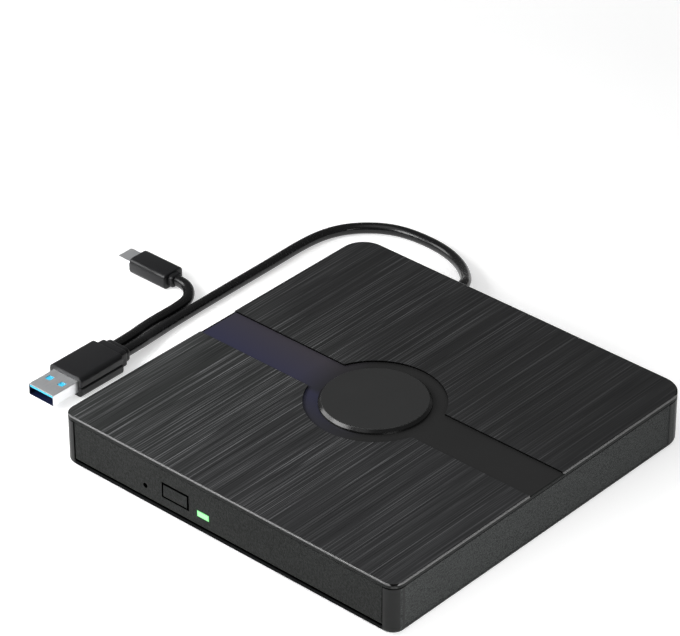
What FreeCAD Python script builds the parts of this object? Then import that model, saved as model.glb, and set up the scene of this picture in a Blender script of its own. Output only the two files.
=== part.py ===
import FreeCAD, Part
import math
import os
import re

import Sketcher
from FreeCAD import Placement, Rotation, Vector

# An external disc drive: a flat two-part case around a slim tray drive, a bridge board that turns its
# serial link into USB, and a fixed lead that ends in a USB-A plug with a Type-C plug on a short branch.
# Millimetres. +Z up, the tray opens towards -Y, origin on the table under the middle of the case.

doc = FreeCAD.newDocument("external_disc_drive")
sheet = doc.addObject("Spreadsheet::Sheet", "Dims")

DIMENSIONS = {
    # Case
    "case_width": 147.0,
    "case_depth": 150.0,
    "case_bottom": 0.6,
    "case_wall_top": 18.0,
    "case_floor_top": 2.2,
    "wall": 2.2,
    "corner_rear": 9.2,
    "corner_front": 4.6,
    "bottom_round": 1.5,
    "opening_half": 68.5,
    "panel_front": -70.0,
    "panel_rear": 65.0,
    "panel_low": 2.1,
    "panel_inset": 0.15,
    "opening_bottom": 2.95,
    "foot_radius": 5.0,
    "foot_recess": 0.4,
    "foot_x": 58.0,
    "foot_y": 60.0,
    # Lid
    "lid_bottom": 18.4,
    "lid_top": 20.0,
    "lid_edge": 0.55,
    "seam_inset": 0.8,
    "band_depth": 0.7,
    "band_front": -8.85,
    "band_rear": 8.75,
    "ring_radius": 24.4,
    "ring_y": -0.8,
    "disc_base": 19.3,
    "disc_rim": 19.2,
    "disc_face": 18.2,
    "disc_rise": 1.0,
    "disc_shoulder": 1.0,
    # Case screws and their bosses
    "boss_radius": 2.6,
    "boss_front_x": 68.4,
    "boss_front_y": -64.0,
    "boss_rear_x": 65.6,
    "boss_rear_y": 66.8,
    "boss_split": 12.0,
    "screw_radius": 0.85,
    "screw_hole": 0.9,
    "screw_head": 2.0,
    "head_hole": 2.1,
    "head_depth": 1.2,
    "head_height": 1.0,
    "screw_top": 15.5,
    "pilot_top": 16.2,
    # Drive shell
    "drive_half": 64.0,
    "drive_front": -71.2,
    "drive_rear": 55.0,
    "drive_low": 2.6,
    "drive_wall_top": 16.2,
    "drive_top": 16.8,
    "sheet_metal": 0.6,
    "pad_radius": 4.0,
    "pad_x": 40.0,
    "pad_y": 46.0,
    "tab_length": 6.0,
    "tab_width": 3.0,
    "tab_low": 15.4,
    "tab_front": -68.0,
    "tab_rear": 48.0,
    "cover_screw_head": 1.7,
    "cover_screw_top": 17.3,
    "cover_recess": 58.0,
    "cover_recess_depth": 0.2,
    # Slides
    "guide_inner": 60.2,
    "guide_web": 62.6,
    "guide_low": 4.2,
    "guide_high": 9.6,
    "guide_flange": 0.8,
    "guide_front": -69.0,
    "guide_rear": 52.0,
    "rail_inner": 59.8,
    "rail_web": 61.5,
    "rail_outer": 62.3,
    "rail_low": 5.3,
    "rail_high": 8.5,
    "rail_flange": 0.6,
    "rail_front": -68.0,
    "rail_rear": 51.0,
    # Tray
    "tray_half": 62.4,
    "tray_front": -71.85,
    "tray_rear": 53.6,
    "tray_low": 4.6,
    "plate_low": 9.9,
    "tray_rim": 15.0,
    "seat": 11.6,
    "small_seat": 10.9,
    "seat_radius": 60.5,
    "small_seat_radius": 40.6,
    "hub_opening": 17.5,
    "skirt_half": 57.5,
    "skirt": 1.5,
    "tongue_out": 61.2,
    "tongue_low": 6.2,
    "tongue_high": 7.6,
    "tongue_front": -66.0,
    "tongue_rear": 50.0,
    "under_cover_low": 4.1,
    "post_slot_half": 2.6,
    # Bezel, button, lamp and pinhole
    "bezel_half": 68.2,
    "bezel_low": 3.25,
    "bezel_high": 18.1,
    "bezel_face": -74.85,
    "bezel_skin": 1.5,
    "bezel_round": 0.4,
    "pinhole_x": -35.36,
    "pinhole_z": 7.85,
    "pinhole_radius": 0.8,
    "button_x": -21.65,
    "button_z": 9.85,
    "button_half": 5.95,
    "button_half_height": 2.85,
    "button_gap": 0.45,
    "button_proud": 0.1,
    "flange_lip": 0.8,
    "flange_thick": 0.6,
    "flange_space": 0.5,
    "stem_z": 8.2,
    "stem_radius": 0.9,
    "stem_end": -71.0,
    "lamp_x": -9.2,
    "lamp_z": 7.98,
    "lamp_half": 2.65,
    "lamp_half_height": 1.18,
    "lamp_gap": 0.08,
    "window_low": 6.4,
    "window_high": 9.7,
    # Boards in the tray and behind the drive
    "stud_x": 50.0,
    "stud_y": -48.0,
    "stud_radius": 1.6,
    "switch_half": 3.0,
    "switch_depth": 3.1,
    "switch_height": 3.4,
    "key_radius": 0.8,
    "board_low": 5.2,
    "board_high": 6.2,
    "board_half": 55.0,
    "board_front": -70.2,
    "board_rear": -45.0,
    "bridge_left": -54.0,
    "bridge_right": 12.0,
    "bridge_front": 57.0,
    "bridge_rear": 70.3,
    "bridge_low": 5.0,
    "bridge_high": 6.2,
    "bridge_screw_inset": 4.0,
    "bridge_screw_y": 63.6,
    "bridge_screw_head": 1.9,
    "bridge_screw_low": 3.0,
    "serial_left": -18.0,
    "serial_right": 5.0,
    "serial_height": 4.0,
    "ribbon_left": 22.0,
    "ribbon_right": 38.0,
    "ribbon_fold": -30.0,
    "ribbon_fixed_end": 50.0,
    "ribbon_tray_end": 20.0,
    "ribbon_low": 3.3,
    "ribbon_high": 3.9,
    "ribbon": 0.12,
    # Traverse: the swung unit with spindle, rods and pickup, in axes of its own
    "spindle_y": -9.0,
    "swing": 45.0,
    "swing_sine": round(math.sin(math.radians(45.0)), 6),
    "frame_low": 6.9,
    "frame_high": 7.9,
    "frame_disc": 22.0,
    "frame_tip": 64.0,
    "rail_tip": 59.4,
    "rail_half": 2.4,
    "frame_half": 14.4,
    "window_start": 17.0,
    "window_tip": 62.5,
    "window_half": 12.6,
    "motor_hole": 8.0,
    "damper_back": 13.5,
    "damper_side": 12.5,
    "ear_middle": 36.0,
    "ear_line": 17.6,
    "ear_half": 3.4,
    "damper_hole": 2.0,
    "damper_lip": 0.8,
    "can_radius": 2.1,
    "can_end": 11.2,
    "lid_thick": 0.4,
    "rod_radius": 1.0,
    "rod_offset": 10.2,
    "rod_level": 7.4,
    "running_gap": 0.08,
    "pickup_start": 24.0,
    "pickup_behind": 5.0,
    "pickup_ahead": 5.5,
    "pickup_half": 12.0,
    "pickup_low": 5.6,
    "pickup_floor": 8.0,
    "slot_half": 7.5,
    "cheek_middle": 6.3,
    "cheek_half": 0.7,
    "cheek_run": 4.0,
    "cheek_top": 10.2,
    "arm_half": 1.5,
    "arm_low": 8.7,
    "arm_high": 9.2,
    "laser_low": 4.95,
    "holder_half": 4.6,
    "holder_half_width": 5.0,
    "holder_low": 9.0,
    "holder_high": 10.1,
    "lens_radius": 2.4,
    "lens_low": 9.1,
    "lens_shoulder": 9.8,
    "lens_crown": 10.7,
    "screw_line": -17.0,
    "screw_level": 7.3,
    "feed_radius": 1.2,
    "feed_start": 11.4,
    "feed_end": 58.0,
    "feed_pitch": 3.0,
    "feed_groove": 0.25,
    "feed_pivot": 0.42,
    "hub_radius": 7.3,
    "rotor_radius": 12.4,
    "rotor_low": 8.9,
    "rotor_high": 11.4,
    "turntable": 11.9,
    "hub_top": 13.9,
    "claw_low": 12.3,
    "claw_high": 13.3,
    "claw_half": 1.2,
    "claw_inner": 5.2,
    "claw_outer": 7.5,
    "claw_gap": 0.15,
    "shaft_radius": 1.0,
    "base_radius": 10.5,
    "base_low": 5.3,
    "base_high": 8.5,
    # Closing latch
    "post_x": -46.0,
    "post_y": -30.0,
    "post_radius": 1.2,
    "post_top": 7.8,
    "pivot_x": -40.0,
    "pivot_y": -12.0,
    "pivot_radius": 1.2,
    "lever_low": 6.6,
    "lever_high": 7.8,
    "lever_release": 15.0,
    "lever_boss": 2.4,
    "lever_arm": 15.0,
    "lever_half": 1.5,
    "hook_reach": 6.5,
    "hook_front": 16.4,
    "hook_rear": 14.3,
    "pull_reach": 6.4,
    "pull_half": 1.2,
    "pin_collar": 2.2,
    "solenoid_half": 3.2,
    "solenoid_front": 6.2,
    "solenoid_length": 14.0,
    "solenoid_low": 5.2,
    "solenoid_high": 9.2,
    "plunger_radius": 0.9,
    "plunger_depth": 9.0,
    "plunger_head": 1.6,
    "plunger_front": 3.2,
    "plunger_z": 7.2,
    # Lead
    "lead_radius": 2.1,
    "exit_x": -38.0,
    "exit_z": 6.4,
    "relief_tip": 81.5,
    "relief_hole": 3.1,
    "relief_flange": 4.0,
    "relief_flange_thick": 1.4,
    "relief_collar": 3.7,
    "relief_collar_length": 0.9,
    "relief_root": 3.05,
    "relief_end": 2.6,
    # USB-A plug, lying on the table with its mouth towards -Y
    "plug_x": -103.4,
    "plug_z": 4.0,
    "plug_front": -44.8,
    "plug_rear": -24.4,
    "plug_half": 8.0,
    "plug_half_height": 4.0,
    "neck_rear": -18.4,
    "neck_step": 3.7,
    "neck_half": 6.0,
    "neck_half_height": 3.1,
    "bead_half": 5.3,
    "bead_half_height": 2.7,
    "shell_half": 6.0,
    "shell_half_height": 2.25,
    "shell_wall": 0.3,
    "shell_length": 11.8,
    "shell_window": 1.2,
    "shell_window_x": 3.0,
    "shell_window_y": -49.5,
    "tongue_thick": 1.1,
    "contact_outer": 3.5,
    "contact_inner": 1.0,
    "contact_half": 0.5,
    "contact_thick": 0.15,
    # Type-C plug, lying on the table with its mouth towards -X
    "typec_y": 28.6,
    "typec_z": 3.1,
    "typec_front": -140.6,
    "typec_rear": -122.8,
    "typec_half": 4.9,
    "typec_half_height": 3.1,
    "typec_neck": -120.9,
    "typec_neck_half": 3.0,
    "typec_neck_half_height": 2.3,
    "typec_shell": 6.6,
    "typec_shell_half": 4.17,
    "typec_shell_half_height": 1.28,
    "typec_shell_wall": 0.25,
    "typec_slot_half": 3.3,
    "typec_slot_half_height": 0.42,
}

# Parts on the two boards: left, right, front, rear and height above the board
COMPONENTS = {
    "servo_chip": (-2.0, 12.0, -64.0, -50.0, 1.4),
    "memory_chip": (18.0, 28.0, -62.0, -54.0, 1.2),
    "driver_chip": (-53.0, -44.0, -60.0, -53.0, 1.2),
    "ribbon_socket": (34.0, 46.0, -68.0, -64.0, 2.0),
    "coil": (-20.0, -8.0, -52.0, -48.0, 1.8),
    "bridge_chip": (-30.0, -22.0, 60.0, 68.0, 1.2),
    "crystal": (-16.0, -11.0, 64.0, 69.0, 1.6),
    "regulator": (-42.0, -36.5, 59.0, 62.5, 1.0),
}
for component, sizes in COMPONENTS.items():
    for side, number in zip(("left", "right", "front", "rear", "height"), sizes):
        DIMENSIONS[f"{component}_{side}"] = number

for row, (alias, number) in enumerate(DIMENSIONS.items(), start=1):
    sheet.set(f"A{row}", alias)
    sheet.set(f"B{row}", str(number))
    sheet.setAlias(f"B{row}", alias)
doc.recompute()

NODES = []


def formula(text):
    """Turns plain words such as wall + lid_edge into cell references."""

    def reference(word):
        return f"Dims.{word[0]}" if word[0] in DIMENSIONS else word[0]

    return re.sub(r"[a-z_]{2,}", reference, str(text))


def value(text):
    return float(sheet.evalExpression(formula(text)))


def keep(solid, label):
    """Gives a finished sub-part its name and lists it for writing."""
    solid.Label = label
    NODES.append(solid)
    return solid


# Primitives whose sizes and places follow the sheet

AXIS_TURN = {"x": Rotation(Vector(0, 1, 0), 90), "y": Rotation(Vector(1, 0, 0), -90), "z": Rotation()}


def block(x, y, z):
    solid = doc.addObject("Part::Box", "block")
    for side, letter, (low, high) in zip(("Length", "Width", "Height"), "xyz", (x, y, z)):
        solid.setExpression(side, formula(f"({high}) - ({low})"))
        solid.setExpression(f"Placement.Base.{letter}", formula(low))
    return solid


def rod(radius, axis, low, high, centre):
    """A round bar along an axis; centre gives the two other coordinates in X, Y, Z order."""
    solid = doc.addObject("Part::Cylinder", "rod")
    solid.setExpression("Radius", formula(radius))
    solid.setExpression("Height", formula(f"({high}) - ({low})"))
    solid.Placement = Placement(Vector(), AXIS_TURN[axis])
    across = iter(centre)
    for letter in "xyz":
        place = low if letter == axis else next(across)
        solid.setExpression(f"Placement.Base.{letter}", formula(place))
    return solid


def fuse(*pieces):
    joined = doc.addObject("Part::MultiFuse", "joined")
    joined.Shapes = list(pieces)
    joined.Refine = True
    return joined


def cut(base, *tools):
    result = doc.addObject("Part::Cut", "cut")
    result.Base = base
    result.Tool = tools[0] if len(tools) == 1 else fuse(*tools)
    result.Refine = True
    return result


def group(*pieces):
    together = doc.addObject("Part::Compound", "group")
    together.Links = list(pieces)
    return together


def rounded(base, radius, chosen):
    """Rounds the edges of a primitive that the test chooses."""
    doc.recompute()
    size = value(radius)
    result = doc.addObject("Part::Fillet", "rounded")
    result.Base = base
    result.Edges = [(number, size, size) for number, edge in enumerate(base.Shape.Edges, 1) if chosen(edge)]
    return result


def along(axis):
    """A test for straight edges that run along an axis."""
    return lambda edge: all(
        getattr(edge.BoundBox, f"{letter.upper()}Length") < 0.01 for letter in "xyz" if letter != axis
    )


# Sketched bodies

def new_body(label):
    return keep(doc.addObject("PartDesign::Body", label), label)


def sketch_on(body, role, level):
    sketch = body.newObject("Sketcher::SketchObject", "sketch")
    plane = next(feature for feature in body.Origin.OriginFeatures if feature.Role == role)
    sketch.AttachmentSupport = [(plane, "")]
    sketch.MapMode = "FlatFace"
    sketch.setExpression("AttachmentOffset.Base.z", formula(level))
    return sketch


def pin_point(sketch, geometry, point, place):
    """Holds a sketch point at a distance from the origin that the sheet gives."""
    for kind, letter, text in (("DistanceX", "x", place[0]), ("DistanceY", "y", place[1])):
        sketch.addConstraint(Sketcher.Constraint(kind, -1, 1, geometry, point, value(text)))
        name = f"{letter}_{sketch.ConstraintCount}"
        sketch.renameConstraint(sketch.ConstraintCount - 1, name)
        sketch.setExpression(f"Constraints.{name}", formula(text))


def polygons(body, role, level, *loops):
    sketch = sketch_on(body, role, level)
    for loop in loops:
        first = sketch.GeometryCount
        corners = [Vector(value(x), value(y), 0) for x, y in loop]
        for start, end in zip(corners, corners[1:] + corners[:1]):
            sketch.addGeometry(Part.LineSegment(start, end), False)
        for step, corner in enumerate(loop):
            following = first + (step + 1) % len(loop)
            sketch.addConstraint(Sketcher.Constraint("Coincident", first + step, 2, following, 1))
            pin_point(sketch, first + step, 1, corner)
    return sketch


def circles(body, role, level, radius, *centres):
    sketch = sketch_on(body, role, level)
    for centre in centres:
        middle = Vector(value(centre[0]), value(centre[1]), 0)
        number = sketch.addGeometry(Part.Circle(middle, Vector(0, 0, 1), value(radius)), False)
        sketch.addConstraint(Sketcher.Constraint("Radius", number, value(radius)))
        name = f"radius_{sketch.ConstraintCount}"
        sketch.renameConstraint(sketch.ConstraintCount - 1, name)
        sketch.setExpression(f"Constraints.{name}", formula(radius))
        pin_point(sketch, number, 3, centre)
    return sketch


def rectangle(x, y):
    return [(x[0], y[0]), (x[1], y[0]), (x[1], y[1]), (x[0], y[1])]


def extrude(body, kind, sketch, length, backwards=False):
    feature = body.newObject(f"PartDesign::{kind}", kind.lower())
    feature.Profile = sketch
    feature.setExpression("Length", formula(length))
    feature.Reversed = backwards
    return feature


def pad(body, sketch, length, backwards=False):
    return extrude(body, "Pad", sketch, length, backwards)


def pocket(body, sketch, length, backwards=False):
    """Cuts against the sketch's normal, or along it if backwards, and insists that something is cut."""
    doc.recompute()
    before = body.Tip.Shape.Volume
    feature = extrude(body, "Pocket", sketch, length, backwards)
    doc.recompute()
    if feature.Shape.Volume > before - 0.001:
        raise RuntimeError(f"a pocket in {body.Label} cuts nothing")
    return feature


def dress(body, kind, size_name, size, chosen):
    """A fillet or chamfer on the edges of the body's tip that the test chooses."""
    doc.recompute()
    base = body.Tip
    names = [f"Edge{number}" for number, edge in enumerate(base.Shape.Edges, 1) if chosen(edge)]
    feature = body.newObject(f"PartDesign::{kind}", kind.lower())
    feature.Base = (base, names)
    feature.setExpression(size_name, formula(size))
    return feature


def fillet(body, size, chosen):
    return dress(body, "Fillet", "Radius", size, chosen)


def chamfer(body, size, chosen):
    return dress(body, "Chamfer", "Size", size, chosen)


def revolved(label, role, points, base=("0", "0", "0")):
    """A turned piece: points are radius and height, about the sketch's own upright axis."""
    body = new_body(label)
    sketch = polygons(body, role, "0", points)
    feature = body.newObject("PartDesign::Revolution", "revolution")
    feature.Profile = sketch
    feature.ReferenceAxis = (sketch, ["V_Axis"])
    feature.Angle = 360
    for letter, text in zip("xyz", base):
        body.setExpression(f"Placement.Base.{letter}", formula(text))
    return body


def at_level(level):
    """A test for edges that lie wholly at a height."""
    height = value(level)
    return lambda edge: abs(edge.BoundBox.ZMin - height) < 0.01 and abs(edge.BoundBox.ZMax - height) < 0.01


def both(*tests):
    return lambda edge: all(test(edge) for test in tests)


def towards(letter, sign, limit="0"):
    """A test for edges whose middle lies beyond a limit on one side."""
    bound = value(limit)
    return lambda edge: sign * getattr(edge.BoundBox.Center, letter) > bound


def corners(x, y):
    return [(f"-({x})", y), (x, y)]


BOSSES = corners("boss_front_x", "boss_front_y") + corners("boss_rear_x", "boss_rear_y")
FEET = corners("foot_x", "foot_y") + corners("foot_x", "-foot_y")
BRIDGE_SCREWS = [
    ("bridge_left + bridge_screw_inset", "bridge_screw_y"),
    ("bridge_right - bridge_screw_inset", "bridge_screw_y"),
]


def case_outline(body, level, amount="0"):
    """The case's plan drawn in by an amount: straight sides, corners wide at the rear and tight in front."""
    half = f"case_width / 2 - {amount}"
    deep = f"case_depth / 2 - {amount}"
    rear = f"corner_rear - {amount}"
    front = f"corner_front - {amount}"
    places = [
        (f"({front}) - ({half})", f"-({deep})"),
        (f"({half}) - ({front})", f"-({deep})"),
        (half, f"({front}) - ({deep})"),
        (half, f"({deep}) - ({rear})"),
        (f"({half}) - ({rear})", deep),
        (f"({rear}) - ({half})", deep),
        (f"-({half})", f"({deep}) - ({rear})"),
        (f"-({half})", f"({front}) - ({deep})"),
    ]
    sketch = sketch_on(body, "XY_Plane", level)
    points = [Vector(value(x), value(y), 0) for x, y in places]
    count = len(points)
    for step, start in enumerate(points):
        end = points[(step + 1) % count]
        if step % 2 == 0:
            sketch.addGeometry(Part.LineSegment(start, end), False)
            continue
        centre = Vector(start.x, end.y, 0) if step in (1, 5) else Vector(end.x, start.y, 0)
        bulge = (start + end) * 0.5 - centre
        bulge.normalize()
        sketch.addGeometry(Part.Arc(start, centre + bulge * (start - centre).Length, end), False)
    for side in range(0, count, 2):
        sketch.addConstraint(Sketcher.Constraint("Tangent", side, 2, side + 1, 1))
        sketch.addConstraint(Sketcher.Constraint("Coincident", side + 1, 2, (side + 2) % count, 1))
        pin_point(sketch, side, 1, places[side])
        pin_point(sketch, side, 2, places[side + 1])
    return sketch


def bottom_case():
    body = new_body("bottom_case")
    pad(body, case_outline(body, "case_bottom"), "case_wall_top - case_bottom")
    fillet(body, "bottom_round", at_level("case_bottom"))
    pocket(body, case_outline(body, "case_wall_top", "wall"), "case_wall_top - case_floor_top")
    front = rectangle(("-opening_half", "opening_half"), ("opening_bottom", "case_wall_top + 1"))
    pocket(body, polygons(body, "XZ_Plane", "case_depth / 2", front), "wall + 0.2")
    bosses = circles(body, "XY_Plane", "case_floor_top", "boss_radius", *BOSSES)
    pad(body, bosses, "boss_split - case_floor_top")
    pads = corners("pad_x", "pad_y") + corners("pad_x", "-pad_y")
    pad(body, circles(body, "XY_Plane", "case_floor_top", "pad_radius", *pads), "drive_low - case_floor_top")
    panel = rectangle(("panel_front", "panel_rear"), ("panel_low", "case_wall_top + 1"))
    pocket(body, polygons(body, "YZ_Plane", "case_width / 2", panel), "panel_inset")
    pocket(body, polygons(body, "YZ_Plane", "-case_width / 2", panel), "panel_inset", True)
    posts = circles(body, "XY_Plane", "case_floor_top", "boss_radius", *BRIDGE_SCREWS)
    pad(body, posts, "bridge_low - case_floor_top")
    pilots = circles(body, "XY_Plane", "bridge_low", "screw_hole", *BRIDGE_SCREWS)
    pocket(body, pilots, "bridge_low - bridge_screw_low + 0.2")
    pocket(body, circles(body, "XY_Plane", "case_bottom", "foot_radius + 0.1", *FEET), "foot_recess", True)
    pocket(body, circles(body, "XY_Plane", "case_bottom", "head_hole", *BOSSES), "head_depth", True)
    pocket(body, circles(body, "XY_Plane", "case_bottom", "screw_hole", *BOSSES), "boss_split", True)
    inner_face = "wall - case_depth / 2"
    pocket(body, circles(body, "XZ_Plane", inner_face, "relief_hole", ("exit_x", "exit_z")), "wall + 1")
    return body


def top_cover():
    body = new_body("top_cover")
    pad(body, case_outline(body, "lid_bottom"), "lid_top - lid_bottom")
    fillet(body, "lid_edge", at_level("lid_top"))
    band = rectangle(("-case_width / 2 - 1", "case_width / 2 + 1"), ("band_front", "band_rear"))
    pocket(body, polygons(body, "XY_Plane", "lid_top", band), "band_depth")
    pocket(body, circles(body, "XY_Plane", "lid_top", "ring_radius", ("0", "ring_y")), "band_depth")
    lip_low = "case_wall_top"
    lip_height = "lid_bottom - case_wall_top"
    pad(body, case_outline(body, lip_low, "seam_inset"), lip_height)
    pocket(body, case_outline(body, lip_low, "wall"), lip_height, True)
    doorway = rectangle(("-opening_half", "opening_half"), ("-case_depth / 2", "wall - case_depth / 2 + 0.2"))
    pocket(body, polygons(body, "XY_Plane", lip_low, doorway), lip_height, True)
    pad(body, circles(body, "XY_Plane", "boss_split", "boss_radius", *BOSSES), "lid_bottom - boss_split")
    pilots = circles(body, "XY_Plane", "boss_split", "screw_hole", *BOSSES)
    pocket(body, pilots, "pilot_top - boss_split", True)
    return body


def centre_disc():
    low = "lid_top - band_depth"
    top = "lid_top + disc_rise"
    shoulder = ("disc_rim", f"{top} - disc_shoulder")
    points = [("0", low), ("disc_base", low), shoulder, ("disc_face", top), ("0", top)]
    body = revolved("centre_disc", "XZ_Plane", points, ("0", "ring_y", "0"))
    fillet(body, "0.3", both(at_level(top), lambda edge: edge.BoundBox.XLength > 30))
    return body


def case_fasteners():
    foot_top = "case_bottom + foot_recess"
    feet = [rod("foot_radius", "z", "0", foot_top, centre) for centre in FEET]
    soft = [rounded(foot, "0.25", at_level("0")) for foot in feet]
    keep(group(*soft), "rubber_feet")
    head_low = "case_bottom + head_depth - head_height"
    head_top = "case_bottom + head_depth"
    screws = []
    for centre in BOSSES:
        head = rod("screw_head", "z", head_low, head_top, centre)
        recess = rod("screw_radius", "z", head_low, f"{head_low} + 0.5", centre)
        shank = rod("screw_radius", "z", head_top, "screw_top", centre)
        screws.append(fuse(cut(head, recess), shank))
    keep(group(*screws), "case_screws")


# The slim drive's shell and slides

COVER_SCREWS = [
    (f"{side} * (drive_half - sheet_metal - tab_width / 2)", f"{end} + tab_length / 2")
    for side in (-1, 1)
    for end in ("tab_front", "tab_rear")
]


def mirrored(side, low, high):
    """The X range of a piece on the left (-1) or right (1) side."""
    return (low, high) if side > 0 else (f"-({high})", f"-({low})")


def drive_shell():
    inner = "drive_half - sheet_metal"
    floor_top = "drive_low + sheet_metal"
    outside = block(
        ("-drive_half", "drive_half"), ("drive_front", "drive_rear"), ("drive_low", "drive_wall_top")
    )
    hollow = block(
        (f"-({inner})", inner),
        ("drive_front - 1", "drive_rear - sheet_metal"),
        (floor_top, "drive_wall_top + 1"),
    )
    tabs = []
    for side in (-1, 1):
        for end in ("tab_front", "tab_rear"):
            across = mirrored(side, f"{inner} - tab_width", inner)
            tabs.append(block(across, (end, f"{end} + tab_length"), ("tab_low", "drive_wall_top")))
    holes = [rod("screw_hole", "z", "tab_low - 1", "drive_wall_top + 1", centre) for centre in COVER_SCREWS]
    keep(cut(fuse(cut(outside, hollow), *tabs), *holes), "drive_chassis")

    plate = block(
        ("-drive_half", "drive_half"), ("drive_front", "drive_rear"), ("drive_wall_top", "drive_top")
    )
    recess_top = "drive_wall_top + cover_recess_depth"
    recess = rod("cover_recess", "z", "drive_wall_top - 1", recess_top, ("0", "spindle_y"))
    holes = [rod("screw_hole", "z", "drive_wall_top - 1", "drive_top + 1", centre) for centre in COVER_SCREWS]
    keep(cut(plate, recess, *holes), "drive_cover")

    screws = []
    for centre in COVER_SCREWS:
        head = rod("cover_screw_head", "z", "drive_top", "cover_screw_top", centre)
        shank = rod("screw_radius", "z", "tab_low + 0.1", "drive_top", centre)
        screws.append(fuse(head, shank))
    keep(group(*screws), "drive_cover_screws")

    post = rod("post_radius", "z", floor_top, "post_top", ("post_x", "post_y"))
    keep(post, "latch_post")


def slides():
    run = ("guide_front", "guide_rear")
    for name, side in (("left", -1), ("right", 1)):
        bar_across = mirrored(side, "guide_inner", "drive_half - sheet_metal")
        bar = block(bar_across, run, ("guide_low", "guide_high"))
        groove = block(
            mirrored(side, "guide_inner - 1", "guide_web"),
            ("guide_front - 1", "guide_rear + 1"),
            ("guide_low + guide_flange", "guide_high - guide_flange"),
        )
        keep(cut(bar, groove), f"rail_guide_{name}")
        bar_across = mirrored(side, "rail_inner", "rail_outer")
        bar = block(bar_across, ("rail_front", "rail_rear"), ("rail_low", "rail_high"))
        groove = block(
            mirrored(side, "rail_inner - 1", "rail_web"),
            ("rail_front - 1", "rail_rear + 1"),
            ("rail_low + rail_flange", "rail_high - rail_flange"),
        )
        keep(cut(bar, groove), f"slide_rail_{name}")


# Tray

def swung(forward, sideways):
    """A point of the traverse's own axes as a place on the tray."""
    return (
        f"(({forward}) - ({sideways})) * swing_sine",
        f"spindle_y + (({forward}) + ({sideways})) * swing_sine",
    )


def tray():
    body = new_body("tray")
    length = ("tray_front", "tray_rear")
    plate = rectangle(("-tray_half", "tray_half"), length)
    pad(body, polygons(body, "XY_Plane", "plate_low", plate), "tray_rim - plate_low")
    fillet(body, "2", both(along("z"), towards("y", 1)))
    chamfer(body, "0.4", at_level("tray_rim"))
    skirt = rectangle(("-skirt_half", "skirt_half"), length)
    pad(body, polygons(body, "XY_Plane", "tray_low", skirt), "plate_low - tray_low")
    hollow = rectangle(
        ("-skirt_half + skirt", "skirt_half - skirt"), ("tray_front + skirt", "tray_rear - skirt")
    )
    pocket(body, polygons(body, "XY_Plane", "tray_low", hollow), "plate_low - tray_low", True)
    centre = ("0", "spindle_y")
    pocket(body, circles(body, "XY_Plane", "tray_rim", "seat_radius", centre), "tray_rim - seat")
    pocket(body, circles(body, "XY_Plane", "seat", "small_seat_radius", centre), "seat - small_seat")
    pocket(body, circles(body, "XY_Plane", "seat", "hub_opening", centre), "seat - plate_low + 0.1")
    slot = [
        swung("0", "-slot_half"),
        swung("window_tip", "-slot_half"),
        swung("window_tip", "slot_half"),
        swung("0", "slot_half"),
    ]
    pocket(body, polygons(body, "XY_Plane", "tray_rim", slot), "tray_rim - plate_low + 0.1")
    tongue_run = ("tongue_front", "tongue_rear")
    tongues = [rectangle(mirrored(side, "skirt_half", "tongue_out"), tongue_run) for side in (-1, 1)]
    pad(body, polygons(body, "XY_Plane", "tongue_low", *tongues), "tongue_high - tongue_low")
    openings = [
        rectangle(("button_x - 2.4", "button_x + 2.4"), ("window_low", "window_high")),
        rectangle(("lamp_x - lamp_half", "lamp_x + lamp_half"), ("window_low", "window_high")),
    ]
    pocket(body, polygons(body, "XZ_Plane", "-tray_front", *openings), "skirt + 0.1")
    release = circles(body, "XZ_Plane", "-tray_front", "pinhole_radius + 0.3", ("pinhole_x", "pinhole_z"))
    pocket(body, release, "skirt + 0.1")
    way_out = rectangle(
        ("post_x - post_slot_half", "post_x + post_slot_half"), ("tray_low - 1", "post_top + 0.6")
    )
    pocket(body, polygons(body, "XZ_Plane", "skirt - tray_rear", way_out), "skirt + 0.1")
    studs = corners("stud_x", "stud_y") + [("0", "stud_y")]
    pad(body, circles(body, "XY_Plane", "board_high", "stud_radius", *studs), "plate_low - board_high")
    return body


def tray_under_cover():
    plate = block(("-skirt_half", "skirt_half"), ("tray_front", "tray_rear"), ("under_cover_low", "tray_low"))
    track = block(
        ("post_x - post_slot_half", "post_x + post_slot_half"),
        ("post_y - 4", "tray_rear + 1"),
        ("under_cover_low - 1", "tray_low + 1"),
    )
    keep(cut(plate, track), "tray_under_cover")


def tray_bezel():
    body = new_body("tray_bezel")
    face = rectangle(("-bezel_half", "bezel_half"), ("bezel_low", "bezel_high"))
    pad(body, polygons(body, "XZ_Plane", "-tray_front", face), "tray_front - bezel_face")
    front = value("bezel_face")
    fillet(body, "bezel_round", lambda edge: abs(edge.BoundBox.YMax - front) < 0.01)
    inner = "-tray_front"
    depth = "tray_front - bezel_face"
    hole = rectangle(
        ("button_x - button_half", "button_x + button_half"),
        ("button_z - button_half_height", "button_z + button_half_height"),
    )
    lamp = rectangle(
        ("lamp_x - lamp_half", "lamp_x + lamp_half"),
        ("lamp_z - lamp_half_height", "lamp_z + lamp_half_height"),
    )
    pocket(body, polygons(body, "XZ_Plane", "-bezel_face", hole, lamp), f"{depth} + 0.1")
    release = circles(body, "XZ_Plane", "-bezel_face", "pinhole_radius", ("pinhole_x", "pinhole_z"))
    pocket(body, release, depth)
    across = "(button_half + flange_lip)"
    upright = "(button_half_height + flange_lip)"
    nest = rectangle(
        (f"button_x - {across}", f"button_x + {across}"), (f"button_z - {upright}", f"button_z + {upright}")
    )
    pocket(body, polygons(body, "XZ_Plane", inner, nest), f"{depth} - bezel_skin", True)
    return body


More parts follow.
